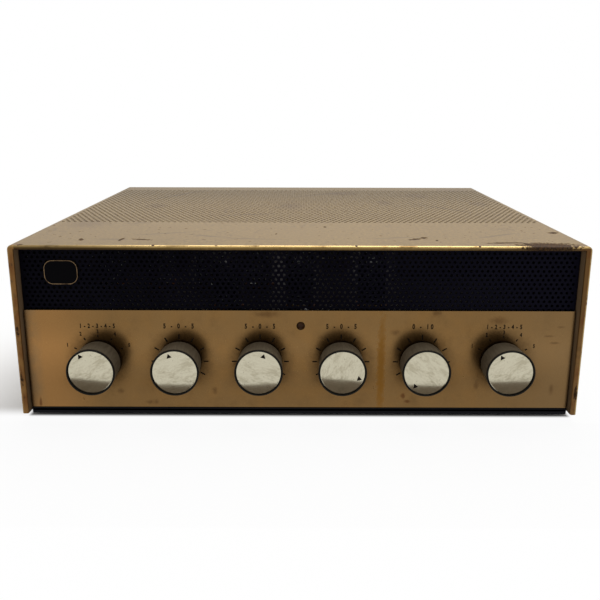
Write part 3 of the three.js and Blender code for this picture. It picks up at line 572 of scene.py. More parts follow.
def rounded_box(x0, x1, z0, z1, corner, steps=5):
    """A rectangle with round corners as a list of (x, z)."""
    outline = []
    for cx, cz, start in ((x1 - corner, z1 - corner, 0), (x0 + corner, z1 - corner, 90),
                          (x0 + corner, z0 + corner, 180), (x1 - corner, z0 + corner, 270)):
        for s in range(steps + 1):
            a = radians(start + 90 * s / steps)
            outline.append((cx + corner * cos(a), cz + corner * sin(a)))
    return outline


def face_outline(low, high, corner, inset=0.0, steps=5):
    """The rounded outline of a CAD box seen from the front."""
    return rounded_box(low.x + inset, high.x - inset, low.z + inset, high.z - inset, corner, steps)


def round_slot(x, z, wide, tall):
    return rounded_box(x - wide / 2, x + wide / 2, z - tall / 2, z + tall / 2, min(wide, tall) / 2 - 0.01, 4)


# %% Cut sheets with holes
def upright(x, z, deep):
    """Places a sheet that stands facing the front."""
    return Vector((x, deep, z))


def lying(x, y, deep):
    """Places a sheet that lies flat."""
    return Vector((x, y, deep))


def cut_sheet(form, outlines, near, far, point=upright, ease=0.0, joined=()):
    """Adds a sheet whose first outline is its edge and whose others are holes in it.
    point(x, z, deep) places a corner, and ease rounds the edges of both faces. The outlines that
    are joined to another sheet get no wall."""
    loops = [[Vector((x, z, 0)) for x, z in outline] for outline in outlines]
    flat = [corner for loop in loops for corner in loop]
    near_row = [form.verts.new(point(c.x, c.y, near)) for c in flat]
    far_row = [form.verts.new(point(c.x, c.y, far)) for c in flat]
    for a, b, c in tessellate_polygon(loops):
        form.faces.new((near_row[a], near_row[b], near_row[c]))
        form.faces.new((far_row[c], far_row[b], far_row[a]))
    start, walls = 0, []
    for index, loop in enumerate(loops):
        count = len(loop)
        for k in range(0 if index in joined else count):
            i, n = start + k, start + (k + 1) % count
            walls.append(form.faces.new((near_row[i], near_row[n], far_row[n], far_row[i])))
        start += count
    if ease:
        bmesh.ops.recalc_face_normals(form, faces=form.faces)
        rims = {edge for wall in walls for edge in wall.edges
                if len(edge.link_faces) == 2 and edge.calc_face_angle() > radians(60)}
        bmesh.ops.bevel(form, geom=list(rims), offset=ease, segments=2, affect="EDGES", profile=0.6)
    return form


# %% Make the grille
GRILLE_LOW, GRILLE_HIGH, _ = box_mm("front_grille")
LENS_LOW, LENS_HIGH, LENS = box_mm("pilot_lens")
LENS_RADIUS = (LENS_HIGH.x - LENS_LOW.x) / 2
LENS_HOLE = circle(LENS.x, LENS.z, LENS_RADIUS + GAP, 24)
GRILLE_PITCH, GRILLE_ROW, GRILLE_RADIUS = 3.43, 2.77, 0.95
GRILLE_ROWS, GRILLE_MARGIN = 15, 1.2
GRILLE_HOLES = int(((GRILLE_HIGH.x - GRILLE_LOW.x) / GRILLE_PITCH) - 0.5)


def grille_form():
    half, top = GRILLE_PITCH / 4 * (2 * GRILLE_HOLES + 1), GRILLE_HIGH.z - GRILLE_MARGIN
    bottom = top - GRILLE_ROWS * GRILLE_ROW
    form = punch_field(bmesh.new(), GRILLE_HOLES, GRILLE_ROWS, GRILLE_PITCH, GRILLE_ROW, GRILLE_RADIUS,
                       GRILLE_HIGH.y - GRILLE_LOW.y, bottom,
                       lambda x, z, deep: upright(x, z, GRILLE_LOW.y + deep))
    stations = [i * GRILLE_PITCH / 2 - half for i in range(2 * GRILLE_HOLES + 2)]
    rows = [bottom + row * GRILLE_ROW for row in range(1, GRILLE_ROWS)]
    window = [(x, bottom) for x in stations] + [(half, z) for z in rows]
    window += [(x, top) for x in reversed(stations)] + [(-half, z) for z in reversed(rows)]
    edge = square_box(GRILLE_LOW.x, GRILLE_HIGH.x, GRILLE_LOW.z, GRILLE_HIGH.z)
    return cut_sheet(form, [edge, window, LENS_HOLE], GRILLE_LOW.y, GRILLE_HIGH.y, joined=(1,))


@finish
def grille_black(place):
    dust = step(noise(place, 30, detail=5), 0.45, 0.75)
    fine = noise(place, 0.9, detail=2)
    right = step(axes(place)[0], 0, 150)
    colour = mixed(right * 0.8, mixed(dust, (6, 5, 14), (12, 11, 21)), (17, 16, 29))
    return {"Base Color": colour, "Roughness": 0.42 + fine * 0.2, "Specular IOR Level": 0.03,
            "Normal": bump(fine, 0.2, 0.05)}


fasten("grille_sheet", grille_form(), grille_black, stands_for="front_grille")
print("grille holes:", GRILLE_HOLES * GRILLE_ROWS)

# %% [markdown]
# ## The front panel
# The panel is a bronze-painted sheet with holes for six control bushings and the pilot lens. Its
# paint has more metal in it than the cover's, so it mirrors the knobs a little. A dark patch round
# each knob, partly finger grime and partly painted shade, adds to that mirror image to make the
# dark halo above and beside it. Painted reflections make the left end brighter and warmer and the
# right end greyer. Painted shade darkens the panel near its top and towards its bottom, greys it
# near its left edge and draws a dark line along that edge. Dirt has gathered in brown spots, and
# one rust streak runs down past the fifth knob.

# %% Cut the panel
AXES = {joint["child"]: Vector(joint["pos_m"]) / MM for joint in frame["joints"]}
KNOB_X = [AXES[f"{name}_control"].x for name in CONTROLS]
KNOB_Z = AXES["function_control"].z
PANEL_LOW, PANEL_HIGH, _ = box_mm("front_panel")
PANEL_FRONT, PANEL_HALF = PANEL_LOW.y, PANEL_HIGH.x
BUSHING_HOLE = 5.1


def panel_form():
    edge = square_box(-PANEL_HALF, PANEL_HALF, PANEL_LOW.z, PANEL_HIGH.z)
    holes = [circle(x, KNOB_Z, BUSHING_HOLE) for x in KNOB_X]
    return cut_sheet(bmesh.new(), [edge, *holes, LENS_HOLE], PANEL_FRONT, PANEL_HIGH.y, ease=0.3)


# %% Paint the panel
def on_panel(*marks):
    """Marks on the panel, each noted as x, z, two half lengths and a turn."""
    return [((x, -128, z), (wide, 3, tall), turn) for x, z, wide, tall, turn in marks]


PANEL_SPOTS = on_panel(
    (-113.9, 18.3, 1.8, 1.5, 0), (-95.5, 10.7, 2.0, 1.2, 0), (-91.5, 11, 1.4, 1.6, 0),
    (112.5, 23, 1.3, 2.6, 0), (156, 56, 2.6, 0.5, -40), (160, 51.5, 2.4, 0.5, 40), (160.5, 20, 1.2, 2.6, 0),
    (85.3, 71, 2.4, 1.6, 0), (163, 62, 1.6, 0.5, 20), (-53.8, 19, 1.3, 2.0, 0), (124, 66, 5, 2.0, 0),
    (60, 58, 2.4, 1.6, 0), (-20, 70, 6, 1.8, 0))
PANEL_RUST = on_panel((-165.7, 10.5, 0.8, 2.6, 0), (66.2, 15.5, 1.3, 1.6, 0), (69, 11.8, 1.5, 1.1, 0))
PANEL_STREAK = on_panel((51.6, 34, 2.2, 30, 0))
# A dark patch round each knob: partly finger grime, partly painted shade for the halo above it.
KNOB_GRIME_AND_SHADE = on_panel(*((x, KNOB_Z + 1.5, 17, 17, 0) for x in KNOB_X))


@finish
def panel_bronze(place):
    broad = noise(place, 55, detail=4, offset=(1, 0, 3))
    cloud = noise(place, 14, detail=4, roughness=0.6, offset=(6, 0, 2))
    fine = noise(place, 0.8, offset=(2, 0, 9))
    ragged = (noise(place, 2.5, offset=(4, 4, 4)) - 0.5) * 1.6
    smoky = step(noise(place, 16, detail=6, roughness=0.7, offset=(2, 0, 7)), 0.48, 0.75)
    spots = step(noise(place, 7, detail=2, offset=(8, 0, 5)), 0.72, 0.80)
    streak = patches(place, PANEL_STREAK, ragged, edge=0.6)
    x, _, z = axes(place)
    # Painted light on the panel: a brighter, warmer painted reflection at the left end and a greyer one at
    # the right. Painted shade near the top, towards the bottom, greying near the left edge, and as a dark
    # line along that edge.
    colour = over(
        mixed(broad, (124, 94, 56), (138, 107, 66)), (step(cloud, 0.35, 0.8) * 0.6, (140, 104, 58)),
        (smoky * 0.42, (94, 69, 40)), (step(x, 100, 165) * 0.6, (128, 103, 70)),
        (step(x, -120, -156) * 0.85, (160, 117, 68)), (step(z, 44, 66) * 0.3, (94, 72, 42)),
        (step(cloud, 0.3, 0.7) * step(x, -160, -168) * 0.6, (112, 96, 72)),
        (step(z, 52, 22) * 0.26, (70, 53, 30)), (step(x, -165.5, -171.0) * 0.5, (60, 48, 34)),
        (patches(place, KNOB_GRIME_AND_SHADE, ragged * 0.2, edge=0.4) * 0.7, (40, 25, 8)),
        ((spots | patches(place, PANEL_SPOTS, ragged, edge=0.8)) * 0.5, (72, 48, 26)),
        (streak * 0.75, (120, 80, 22)), (patches(place, PANEL_RUST, ragged, edge=0.5) * 0.7, (80, 44, 20)))
    return {"Base Color": colour, "Roughness": 0.22 + fine * 0.08 + spots * 0.2 + streak * 0.1,
            "Metallic": 0.95, "Normal": bump(fine, 0.15, 0.05)}


fasten("panel_sheet", panel_form(), panel_bronze, stands_for="front_panel")

# %% [markdown]
# ## Scales on the panel
# The panel is printed in dark brown ink: a ring of ticks round each level control, short marks
# round each switch, and a line above each control. The ink is a thin film, so it is made as one,
# a twentieth of a millimetre high. All of it is numbers and plain marks.

# %% Print the panel
INK_FACE, INK_BACK, INK_WEIGHT = PANEL_FRONT - 0.05, PANEL_FRONT + 0.02, 0.055
LEVEL_ANGLES, SWITCH_ANGLES = range(-150, 151, 30), range(-60, 61, 30)
LEVEL_TICK, SWITCH_TICK = (14.9, 18.0, 0.85), (16.0, 17.6, 0.8)      # from, to and how wide
TITLE_Z = KNOB_Z + 23.2


def ink_bar(form, x, z, angle, inner, outer, width):
    """A printed bar that points away from a control's axis, clockwise from straight up."""
    a = radians(angle)
    away, across = Vector((sin(a), cos(a))), Vector((cos(a), -sin(a))) * width / 2
    corners = [away * inner - across, away * inner + across, away * outer + across, away * outer - across]
    cut_sheet(form, [[(x + c.x, z + c.y) for c in corners]], INK_FACE, INK_BACK)


def ink_text(form, text, x, z, height, spread=1.25, narrow=0.72):
    """Numbers printed flat on the panel, centred at a place."""
    curve = bpy.data.curves.new("ink", "FONT")
    curve.body, curve.size, curve.space_character = text, height * 1.37, spread
    curve.align_x, curve.align_y = "CENTER", "CENTER"
    curve.extrude, curve.resolution_u, curve.offset = (INK_BACK - INK_FACE) / 2, 3, height * INK_WEIGHT
    letters = linked("ink", curve)
    mesh = bpy.data.meshes.new_from_object(letters)
    for vertex in mesh.vertices:
        flat = vertex.co.copy()
        vertex.co = (x + flat.x * narrow, (INK_FACE + INK_BACK) / 2 - flat.z, z + flat.y)
    form.from_mesh(mesh)
    bpy.data.objects.remove(letters)
    bpy.data.curves.remove(curve)
    bpy.data.meshes.remove(mesh)


def print_form():
    form = bmesh.new()
    for name, x in zip(CONTROLS, KNOB_X):
        if name in SWITCHES:
            for number, angle in enumerate(SWITCH_ANGLES, 1):
                a = radians(angle)
                ink_bar(form, x, KNOB_Z, angle, *SWITCH_TICK)
                reach = 20.2 + 2.5 * abs(sin(a))
                ink_text(form, str(number), x + reach * sin(a), KNOB_Z + reach * cos(a) - 0.6, 2.5)
            ink_text(form, "1-2-3-4-5", x, TITLE_Z, 2.9, spread=2.0)
            continue
        for angle in LEVEL_ANGLES:
            ink_bar(form, x, KNOB_Z, angle, *LEVEL_TICK)
        ink_text(form, "0 - 10" if name == "volume" else "5 - 0 - 5", x, TITLE_Z, 3.2, spread=1.7)
    return form


@finish
def panel_ink(place):
    worn = step(noise(place, 0.7, detail=2), 0.35, 0.7)
    return {"Base Color": mixed(worn, (9, 6, 4), (26, 17, 10)), "Roughness": 0.6 + worn * 0.1,
            "Specular IOR Level": 0.08}


fasten("panel_print", print_form(), panel_ink)

# %% [markdown]
# ## The knobs
# A knob is a moulded cup with a thin ring in front, and an aluminium disc is let into the ring.
# The body is spun from a profile with eased edges. Its skirt has the hole for a grub screw,
# opposite the pointer. The hole is cut with a Boolean, because it has to follow the curved side.

# %% Turn the knob bodies
low, high, _ = box_mm("function_knob")
KNOB_FRONT, KNOB_REAR, KNOB_RADIUS = low.y - PANEL_FRONT, high.y - PANEL_FRONT, (high.z - low.z) / 2
CAP_RADIUS, CAP_THICK, CAP_FRONT = 13.7, 1.2, KNOB_FRONT + 0.9
KNOB_SIDES = 72
HOLLOW_RADIUS, HOLLOW_DEPTH, SHAFT_BORE = 9.4, 3.6, 3.3
GRUB_RADIUS, GRUB_Y = 1.35, KNOB_REAR - 3.4
REST = {"function": -30, "balance": -17, "treble": 16, "bass": 110, "volume": -142, "selector": -30}


def fasten_knob(part, name, form, material, stands_for=None):
    """Fastens a piece of a control, where its axis is and as far turned as the photograph has it."""
    return fasten(f"{name}_{part}", form, material, f"{name}_control", stands_for,
                  AXES[f"{name}_control"], REST[name])


def knob_form():
    seat, hollow = CAP_FRONT + CAP_THICK + GAP, KNOB_REAR - HOLLOW_DEPTH
    return spin(bmesh.new(), [
        (0, seat), (CAP_RADIUS + 0.25, seat), (CAP_RADIUS + 0.25, KNOB_FRONT, 0.15),
        (KNOB_RADIUS, KNOB_FRONT, 0.55), (KNOB_RADIUS - 1.05, KNOB_REAR, 0.4),
        (HOLLOW_RADIUS, KNOB_REAR, 0.3), (HOLLOW_RADIUS, hollow), (SHAFT_BORE, hollow),
        (SHAFT_BORE, seat + 2.4), (0, seat + 2.4)], KNOB_SIDES)


def drill_grub_hole(knob):
    """Cuts the hole in a knob's skirt for good, straight down from its axis."""
    drill = rod(bmesh.new(), GRUB_RADIUS, -KNOB_RADIUS - 1, -KNOB_RADIUS + 2.2, 20, (0, GRUB_Y, 0))
    tool = as_object("drill", welded(drill))
    cutter = knob.modifiers.new("cut", "BOOLEAN")
    cutter.operation, cutter.solver, cutter.object = "DIFFERENCE", "EXACT", tool
    tool.matrix_world = knob.matrix_world.copy()
    bpy.context.view_layer.update()
    result = bpy.data.meshes.new_from_object(knob.evaluated_get(bpy.context.evaluated_depsgraph_get()))
    knob.modifiers.clear()
    knob.data = result
    result.set_sharp_from_angle(angle=CREASE)
    bpy.data.objects.remove(tool)


@finish
def knob_plastic(place):
    faded = noise(place, 9, detail=4)
    fine = noise(place, 0.5, detail=2)
    grain = noise(place, 1.2, detail=2, stretch=(1, 0.08, 1))
    # The front lip is near black: partly the knob's own dark edge, partly a painted shadow line round the
    # disc.
    lip_and_shade = step(axes(place)[1], KNOB_FRONT + 1.9, KNOB_FRONT + 1.1)
    colour = over(mixed(faded, (92, 83, 68), (108, 98, 81)),
                  (step(grain, 0.3, 0.8) * 0.4, (58, 50, 38)), (lip_and_shade * 0.97, (8, 7, 6)))
    return {"Base Color": colour, "Roughness": 0.5 + fine * 0.14, "Specular IOR Level": 0.15,
            "Normal": bump(fine + grain, 0.25, 0.04)}


for name in CONTROLS:
    drill_grub_hole(fasten_knob("knob_body", name, knob_form(), knob_plastic, f"{name}_knob"))

# %% [markdown]
# ## The face discs
# Each disc is spun aluminium, once polished. It mirrors the bright floor in front of it, and fine
# scratches and pits break that mirror. The scratches are noise stretched one way, and the pits
# are the peaks of a finer noise. The pointer is a small printed triangle near the rim.

# %% Spin the discs
DISC_TILT = {"function": -1.0, "balance": 0.4, "treble": 0.6, "bass": -0.4, "volume": 0.7, "selector": -0.3}
POINTER_SIDE = 3.2


def lean(form, name):
    """Leans a disc back by its small tilt, so that each mirrors a slightly different floor."""
    turn, slope = radians(REST[name]), tan(radians(DISC_TILT[name]))
    for vertex in form.verts:
        x, _, z = vertex.co
        vertex.co.y += slope * (z * cos(turn) - x * sin(turn))
    return form


def disc_form():
    return spin(bmesh.new(), [
        (0, CAP_FRONT), (CAP_RADIUS - 0.8, CAP_FRONT), (CAP_RADIUS, CAP_FRONT + 0.05, 0.3),
        (CAP_RADIUS, CAP_FRONT + CAP_THICK, 0.1), (0, CAP_FRONT + CAP_THICK)], KNOB_SIDES)


def pointer_form(name):
    reach, tall = (11.6 if name in SWITCHES else 10.7), POINTER_SIDE * sqrt(3) / 2
    foot = reach - tall / 3
    corners = [(0, reach + tall * 2 / 3), (-POINTER_SIDE / 2, foot), (POINTER_SIDE / 2, foot)]
    return cut_sheet(bmesh.new(), [corners], CAP_FRONT - 0.05, CAP_FRONT + 0.02)


@finish
def spun_aluminium(place):
    wavy = noise(place, 5, detail=2)
    brushed = noise(place, 3, stretch=(0.7, 1, 9), offset=(1, 0, 4))
    pits = step(noise(place, 0.9, detail=1, offset=(5, 0, 5)), 0.69, 0.75)
    film = step(noise(place, 4, detail=5, roughness=0.7, offset=(3, 0, 8), stretch=(0.6, 1, 1.4)), 0.42, 0.66)
    colour = over(mixed(film, (194, 188, 166), (174, 167, 144)),
                  (step(brushed, 0.45, 0.8) * 0.3, (162, 154, 130)), (pits * 0.85, (72, 66, 54)))
    rough = 0.07 + film * 0.05 + step(brushed, 0.4, 0.8) * 0.04 + pits * 0.3
    return {"Base Color": colour, "Roughness": rough, "Metallic": 1.0,
            "Normal": bump(wavy * 0.9 + brushed * 0.08, 0.3, 0.03)}


for name in CONTROLS:
    fasten_knob("disc", name, lean(disc_form(), name), spun_aluminium, f"{name}_knob_cap")
    fasten_knob("pointer", name, lean(pointer_form(name), name), panel_ink)

# %% [markdown]
# ## Blank plate and pilot lens
# A small enamelled plate with a gilt rim sits on the grille. It carries nothing. Its rim is a round
# wire bent along the plate's edge, which is how a thin raised border looks once it is plated. The
# pilot lens is a dark, brownish red dome, and it isn't lit.

# %% Make the plate and the lens
PLATE_LOW, PLATE_HIGH, _ = box_mm("blank_plate")


def wire_along(form, outline, y, radius, sides=10):
    """Bends a round wire along a closed outline of (x, z)."""
    rings, count = [], len(outline)
    for i, (x, z) in enumerate(outline):
        (x0, z0), (x1, z1) = outline[i - 1], outline[(i + 1) % count]
        out = Vector((z1 - z0, 0, x0 - x1)).normalized()
        rings.append([form.verts.new(Vector((x, y + s, z)) + out * c)
                      for c, s in circle(0, 0, radius, sides)])
    for i in range(count):
        bridge(form, rings[i], rings[(i + 1) % count])
    return form


def lens_form():
    arc = [radians(a) for a in range(0, 91, 15)]
    dome = [(LENS_RADIUS * sin(a), LENS_LOW.y + 1.1 * (1 - cos(a))) for a in arc]
    dome += [(LENS_RADIUS, LENS_HIGH.y), (0, LENS_HIGH.y)]
    return spin_at([(LENS.x, 0, LENS.z)], dome, 32)


@finish
def field_enamel(place):
    fine = noise(place, 0.8)
    return {"Base Color": mixed(fine, (4, 3, 6), (8, 7, 9)), "Roughness": 0.45 + fine * 0.2,
            "Specular IOR Level": 0.03}


@finish
def gilt(place):
    worn = step(noise(place, 3), 0.4, 0.7)
    return {"Base Color": mixed(worn, (138, 114, 84), (86, 66, 48)), "Roughness": 0.3 + worn * 0.25,
            "Metallic": 0.9}


@finish
def lens_red(place):
    cloud = noise(place, 1.5, detail=2)
    return {"Base Color": mixed(cloud, (42, 21, 5), (66, 38, 10)), "Roughness": 0.24 + cloud * 0.1,
            "Specular IOR Level": 0.12}


field = cut_sheet(bmesh.new(), [face_outline(PLATE_LOW, PLATE_HIGH, 5.4, 0.25, 8)], PLATE_LOW.y + 0.35,
                  PLATE_HIGH.y, ease=0.2)
border = wire_along(bmesh.new(), face_outline(PLATE_LOW, PLATE_HIGH, 5.2, 0.42, 8), PLATE_LOW.y + 0.42, 0.22)
fasten("plate_field", field, field_enamel, stands_for="blank_plate")
fasten("plate_border", border, gilt)
fasten("pilot_jewel", lens_form(), lens_red, stands_for="pilot_lens")

# %% [markdown]
# ## The underside
# The base is a black sheet with slots for cooling air and a skirt across its front. Its slots have
# round ends, as a punch leaves them. Screw heads are drawn as a disc with two raised halves, so
# that the slot between them is real.

# %% Fold the base
BASE_LOW, BASE_HIGH, _ = box_mm("bottom_plate")
BASE_SHEET, BASE_UNDER = 1.2, BASE_LOW.z + 2
BASE_SCREWS = ((-165, -60), (-165, 60), (165, -60), (165, 60), (0, 128), (0, -112))
AIR_X, AIR_Y, AIR_PITCH, AIR_SLOT = 85, -13, 12, (60, 3.4)


def base_form():
    shoulder = COVER_FRONT + RIM_DEPTH + GAP
    edge = [(-PANEL_HALF, BASE_LOW.y), (PANEL_HALF, BASE_LOW.y), (PANEL_HALF, shoulder),
            (BASE_HIGH.x, shoulder), (BASE_HIGH.x, BASE_HIGH.y), (BASE_LOW.x, BASE_HIGH.y),
            (BASE_LOW.x, shoulder), (-PANEL_HALF, shoulder)]
    slots = [round_slot(side * AIR_X, AIR_Y + row * AIR_PITCH, *AIR_SLOT)
             for side in (-1, 1) for row in range(-2, 3)]
    form = cut_sheet(bmesh.new(), [edge, *slots], BASE_UNDER, BASE_UNDER + BASE_SHEET, lying)
    skirt = square_box(-PANEL_HALF, PANEL_HALF, BASE_LOW.z, PANEL_LOW.z - GAP)
    return cut_sheet(form, [skirt], BASE_LOW.y, BASE_LOW.y + BASE_SHEET, ease=0.3)


def foot_form(node):
    low, high, middle = box_mm(node)
    radius, top = (high.x - low.x) / 2, BASE_UNDER - GAP
    return spin(bmesh.new(), [
        (0, low.z + 1.2), (3.2, low.z + 1.2), (3.2, low.z, 0.3), (7.5, low.z, 0.9), (radius, top - 0.3, 0.6),
        (radius - 0.3, top), (0, top)], 48, "Z", (middle.x, middle.y, 0))


# %% Draw a screw head
def screw_head(form, place, radius, height, facing, turn):
    """A slotted round head that faces down or to the rear. Place is where it seats."""
    base, slit = height * 0.55, radius * 0.18

    def seated(x, z, deep):
        a = radians(turn)
        u, v = x * cos(a) - z * sin(a), x * sin(a) + z * cos(a)
        return Vector(place) + Vector((u, v, -deep) if facing == "down" else (u, deep, v))

    cut_sheet(form, [circle(0, 0, radius, 24)], 0, base, seated)
    cut_off = degrees(asin(slit / radius))
    for side in (0, 180):
        arc = [radians(side + cut_off + (180 - 2 * cut_off) * s / 12) for s in range(13)]
        half = [(radius * 0.97 * cos(a), radius * 0.97 * sin(a)) for a in arc]
        cut_sheet(form, [half], base, height, seated, ease=height * 0.15)


def screws(places, radius, height, facing, first, more, form=None):
    """Screws at several places. Each slot is turned a bit more than the last."""
    form = form or bmesh.new()
    for i, place in enumerate(places):
        screw_head(form, place, radius, height, facing, first + more * i)
    return form


# %% Paint, rubber and plating
@finish
def satin_black(place):
    dust = step(noise(place, 25, detail=5), 0.5, 0.8)
    fine = noise(place, 0.7, detail=2)
    return {"Base Color": mixed(dust, (12, 12, 18), (25, 24, 27)), "Roughness": 0.45 + fine * 0.2,
            "Specular IOR Level": 0.1, "Normal": bump(fine, 0.3, 0.05)}


@finish
def rubber_black(place):
    fine = noise(place, 0.6)
    dusty = step(noise(place, 5), 0.4, 0.8)
    return {"Base Color": mixed(dusty, (22, 21, 20), (46, 43, 39)), "Roughness": 0.8,
            "Specular IOR Level": 0.25, "Normal": bump(fine, 0.4, 0.06)}


def plated_steel(name, clean, dull, rough, streaks, grime_and_shade=0.0):
    """Bright or dull plating, with faint streaks from rolling and darker spots of age. The last
    argument is how much a dark brown film covers what lies inside the case: partly dirt and partly
    painted shade, as little light gets in there."""
    def plating(place):
        rolled = noise(place, 4, stretch=(1, streaks, 1))
        spots = step(noise(place, 9, detail=4, offset=(3, 3, 3)), 0.56, 0.78)
        colour = mixed(spots, mixed(rolled, clean, dull), [int(c * 0.7) for c in dull])
        # Painted shade with some dirt: what lies inside the case is darkened.
        if grime_and_shade:
            colour = mixed(step(axes(place)[1], 136, 128) * grime_and_shade, colour, (38, 35, 31))
        return {"Base Color": colour, "Roughness": rough + spots * 0.2, "Metallic": 0.95,
                "Normal": bump(rolled, 0.15, 0.05)}

    return finish(plating, name)


bright_steel = plated_steel("bright_steel", (190, 192, 194), (160, 160, 160), 0.24, 1)
chassis_zinc = plated_steel("chassis_zinc", (118, 116, 110), (96, 94, 88), 0.42, 9, grime_and_shade=0.9)

# %% Fasten the base, its screws and the feet
fasten("base_plate", base_form(), satin_black, stands_for="bottom_plate")
fasten("base_screws", screws([(x, y, BASE_UNDER) for x, y in BASE_SCREWS], 3.2, 1.6, "down", 0, 35),
       bright_steel)
for node in [f"foot_{end}_{side}" for end in ("front", "rear") for side in ("left", "right")]:
    fasten(f"{node}_pad", foot_form(node), rubber_black, stands_for=node)

# %% [markdown]
# ## The back
# Under the cover's rear edge stands a black screen with a row of upright slots. Below it, on the
# steel of the chassis, are ten phono jacks, a strip of six screw terminals, the fuse holder and
# the rubber grommet that the mains cord goes through.

# %% Make the rear screen and its screws
SCREEN_LOW, SCREEN_HIGH, SCREEN = box_mm("rear_screen")
SCREEN_SLOTS, SCREEN_PITCH, SLOT_WIDE, SLOT_MARGIN = 20, 15.0, 3.5, 26
SCREEN_SCREWS = [(x, SCREEN_HIGH.y, SCREEN_LOW.z + 6) for x in (-160, 0, 160)]
SCREEN_SCREWS += [(x, SCREEN_HIGH.y, SCREEN_HIGH.z - 7) for x in (-160, 160)]


def screen_form():
    tall = SCREEN_HIGH.z - SCREEN_LOW.z - SLOT_MARGIN
    slots = [round_slot((i - (SCREEN_SLOTS - 1) / 2) * SCREEN_PITCH, SCREEN.z, SLOT_WIDE, tall)
             for i in range(SCREEN_SLOTS)]
    return cut_sheet(bmesh.new(), [face_outline(SCREEN_LOW, SCREEN_HIGH, 3.0), *slots], SCREEN_LOW.y,
                     SCREEN_HIGH.y, ease=0.2)


fasten("rear_vent", screen_form(), satin_black, stands_for="rear_screen")
fasten("rear_screws", screws(SCREEN_SCREWS, 3.0, 1.7, "rear", 10, 50), bright_steel)

# %% Make the jacks
JACK_LOW, JACK_HIGH, JACK = box_mm("input_jack_strip")
APRON = box_mm("chassis")[1].y
BOARD_BACK = APRON + 1.8
JACK_PITCH, JACK_ROW, JACK_HOLE = 19.0, 17.0, 3.4
JACK_SPOTS = [(JACK.x + column * JACK_PITCH, 0, JACK.z + row * JACK_ROW)
              for row in (-0.5, 0.5) for column in range(-2, 3)]
RIVET_SPOTS = [(x, 0, z) for x in (JACK_LOW.x + 5, JACK_HIGH.x - 5)
               for z in (JACK_LOW.z + 5, JACK_HIGH.z - 5)]
SHELL = [(2.7, APRON - 1.5), (3.2, APRON - 1.5), (3.2, BOARD_BACK - 0.1), (5.2, BOARD_BACK - 0.1, 0.1),
         (5.2, BOARD_BACK + 0.4, 0.2), (4.2, BOARD_BACK + 0.4, 0.1), (4.2, JACK_HIGH.y, 0.3),
         (3.5, JACK_HIGH.y, 0.2), (3.5, BOARD_BACK + 1.2), (2.7, BOARD_BACK + 1.2), (2.7, APRON - 1.5)]
CORE = [(0, APRON - 6), (2.6, APRON - 6), (2.6, BOARD_BACK + 1.6), (3.3, BOARD_BACK + 1.6),
        (3.3, JACK_HIGH.y - 0.6, 0.2), (1.6, JACK_HIGH.y - 0.6, 0.2), (1.6, APRON - 2), (0, APRON - 2)]
RIVET = [(0, BOARD_BACK - 0.2), (2.2, BOARD_BACK - 0.2), (2.2, BOARD_BACK + 0.3, 0.2),
         (1.3, BOARD_BACK + 0.9, 0.4), (0.7, BOARD_BACK + 0.9, 0.1), (0.7, BOARD_BACK), (0, BOARD_BACK)]


@finish
def brown_laminate(place):
    paper = noise(place, 2.0, detail=4, stretch=(1, 1, 6))
    return {"Base Color": mixed(paper, (96, 58, 32), (122, 78, 46)), "Roughness": 0.4 + paper * 0.15,
            "Normal": bump(paper, 0.2, 0.04)}


jack_holes = [circle(x, z, JACK_HOLE, 24) for x, _, z in JACK_SPOTS]
board = cut_sheet(bmesh.new(), [face_outline(JACK_LOW, JACK_HIGH, 2.0), *jack_holes], APRON + GAP, BOARD_BACK,
                  ease=0.15)
fasten("input_jack_board", board, brown_laminate, stands_for="input_jack_strip")
fasten("input_jack_shells", spin_at(JACK_SPOTS, SHELL, 32), bright_steel)
fasten("input_jack_cores", spin_at(JACK_SPOTS, CORE, 24), satin_black)
fasten("input_jack_rivets", spin_at(RIVET_SPOTS, RIVET, 24), bright_steel)

# %% Make the terminals
TERM_LOW, TERM_HIGH, TERM = box_mm("speaker_terminal_strip")
TERMINALS, TERM_PITCH = 6, 10.4
TERM_X = [TERM.x + (i - (TERMINALS - 1) / 2) * TERM_PITCH for i in range(TERMINALS)]


def strip_form():
    """A moulded strip: a base with a wall on each side of every screw."""
    face = APRON + 3.8
    form = cut_sheet(bmesh.new(), [face_outline(TERM_LOW, TERM_HIGH, 1.0)], APRON + GAP, face, ease=0.3)
    for i in range(TERMINALS + 1):
        x = TERM_X[0] + (i - 0.5) * TERM_PITCH
        cut_sheet(form, [rounded_box(x - 0.9, x + 0.9, TERM_LOW.z + 0.5, TERM_HIGH.z - 0.5, 0.5)], face - 0.2,
                  TERM_HIGH.y, ease=0.25)
    return form


def terminal_screws():
    form = bmesh.new()
    seat = APRON + 4.3
    for x in TERM_X:
        cut_sheet(form, [rounded_box(x - 3.6, x + 3.6, TERM.z - 4.4, TERM.z + 4.4, 0.6)], APRON + 3.7, seat,
                  ease=0.1)
    return screws([(x, seat, TERM.z) for x in TERM_X], 3.0, 1.9, "rear", 0, 23, form)


@finish
def moulded_black(place):
    flow = noise(place, 6)
    return {"Base Color": mixed(flow, (18, 17, 16), (34, 31, 28)), "Roughness": 0.28 + flow * 0.15,
            "Specular IOR Level": 0.4}


fasten("speaker_strip", strip_form(), moulded_black, stands_for="speaker_terminal_strip")
fasten("speaker_screws", terminal_screws(), bright_steel)

# %% Make the fuse holder and the grommet
FUSE_LOW, FUSE_HIGH, FUSE = box_mm("fuse_holder")
CORD_LOW, CORD_HIGH, CORD = box_mm("cord_grommet")
FUSE_SIDES = 48


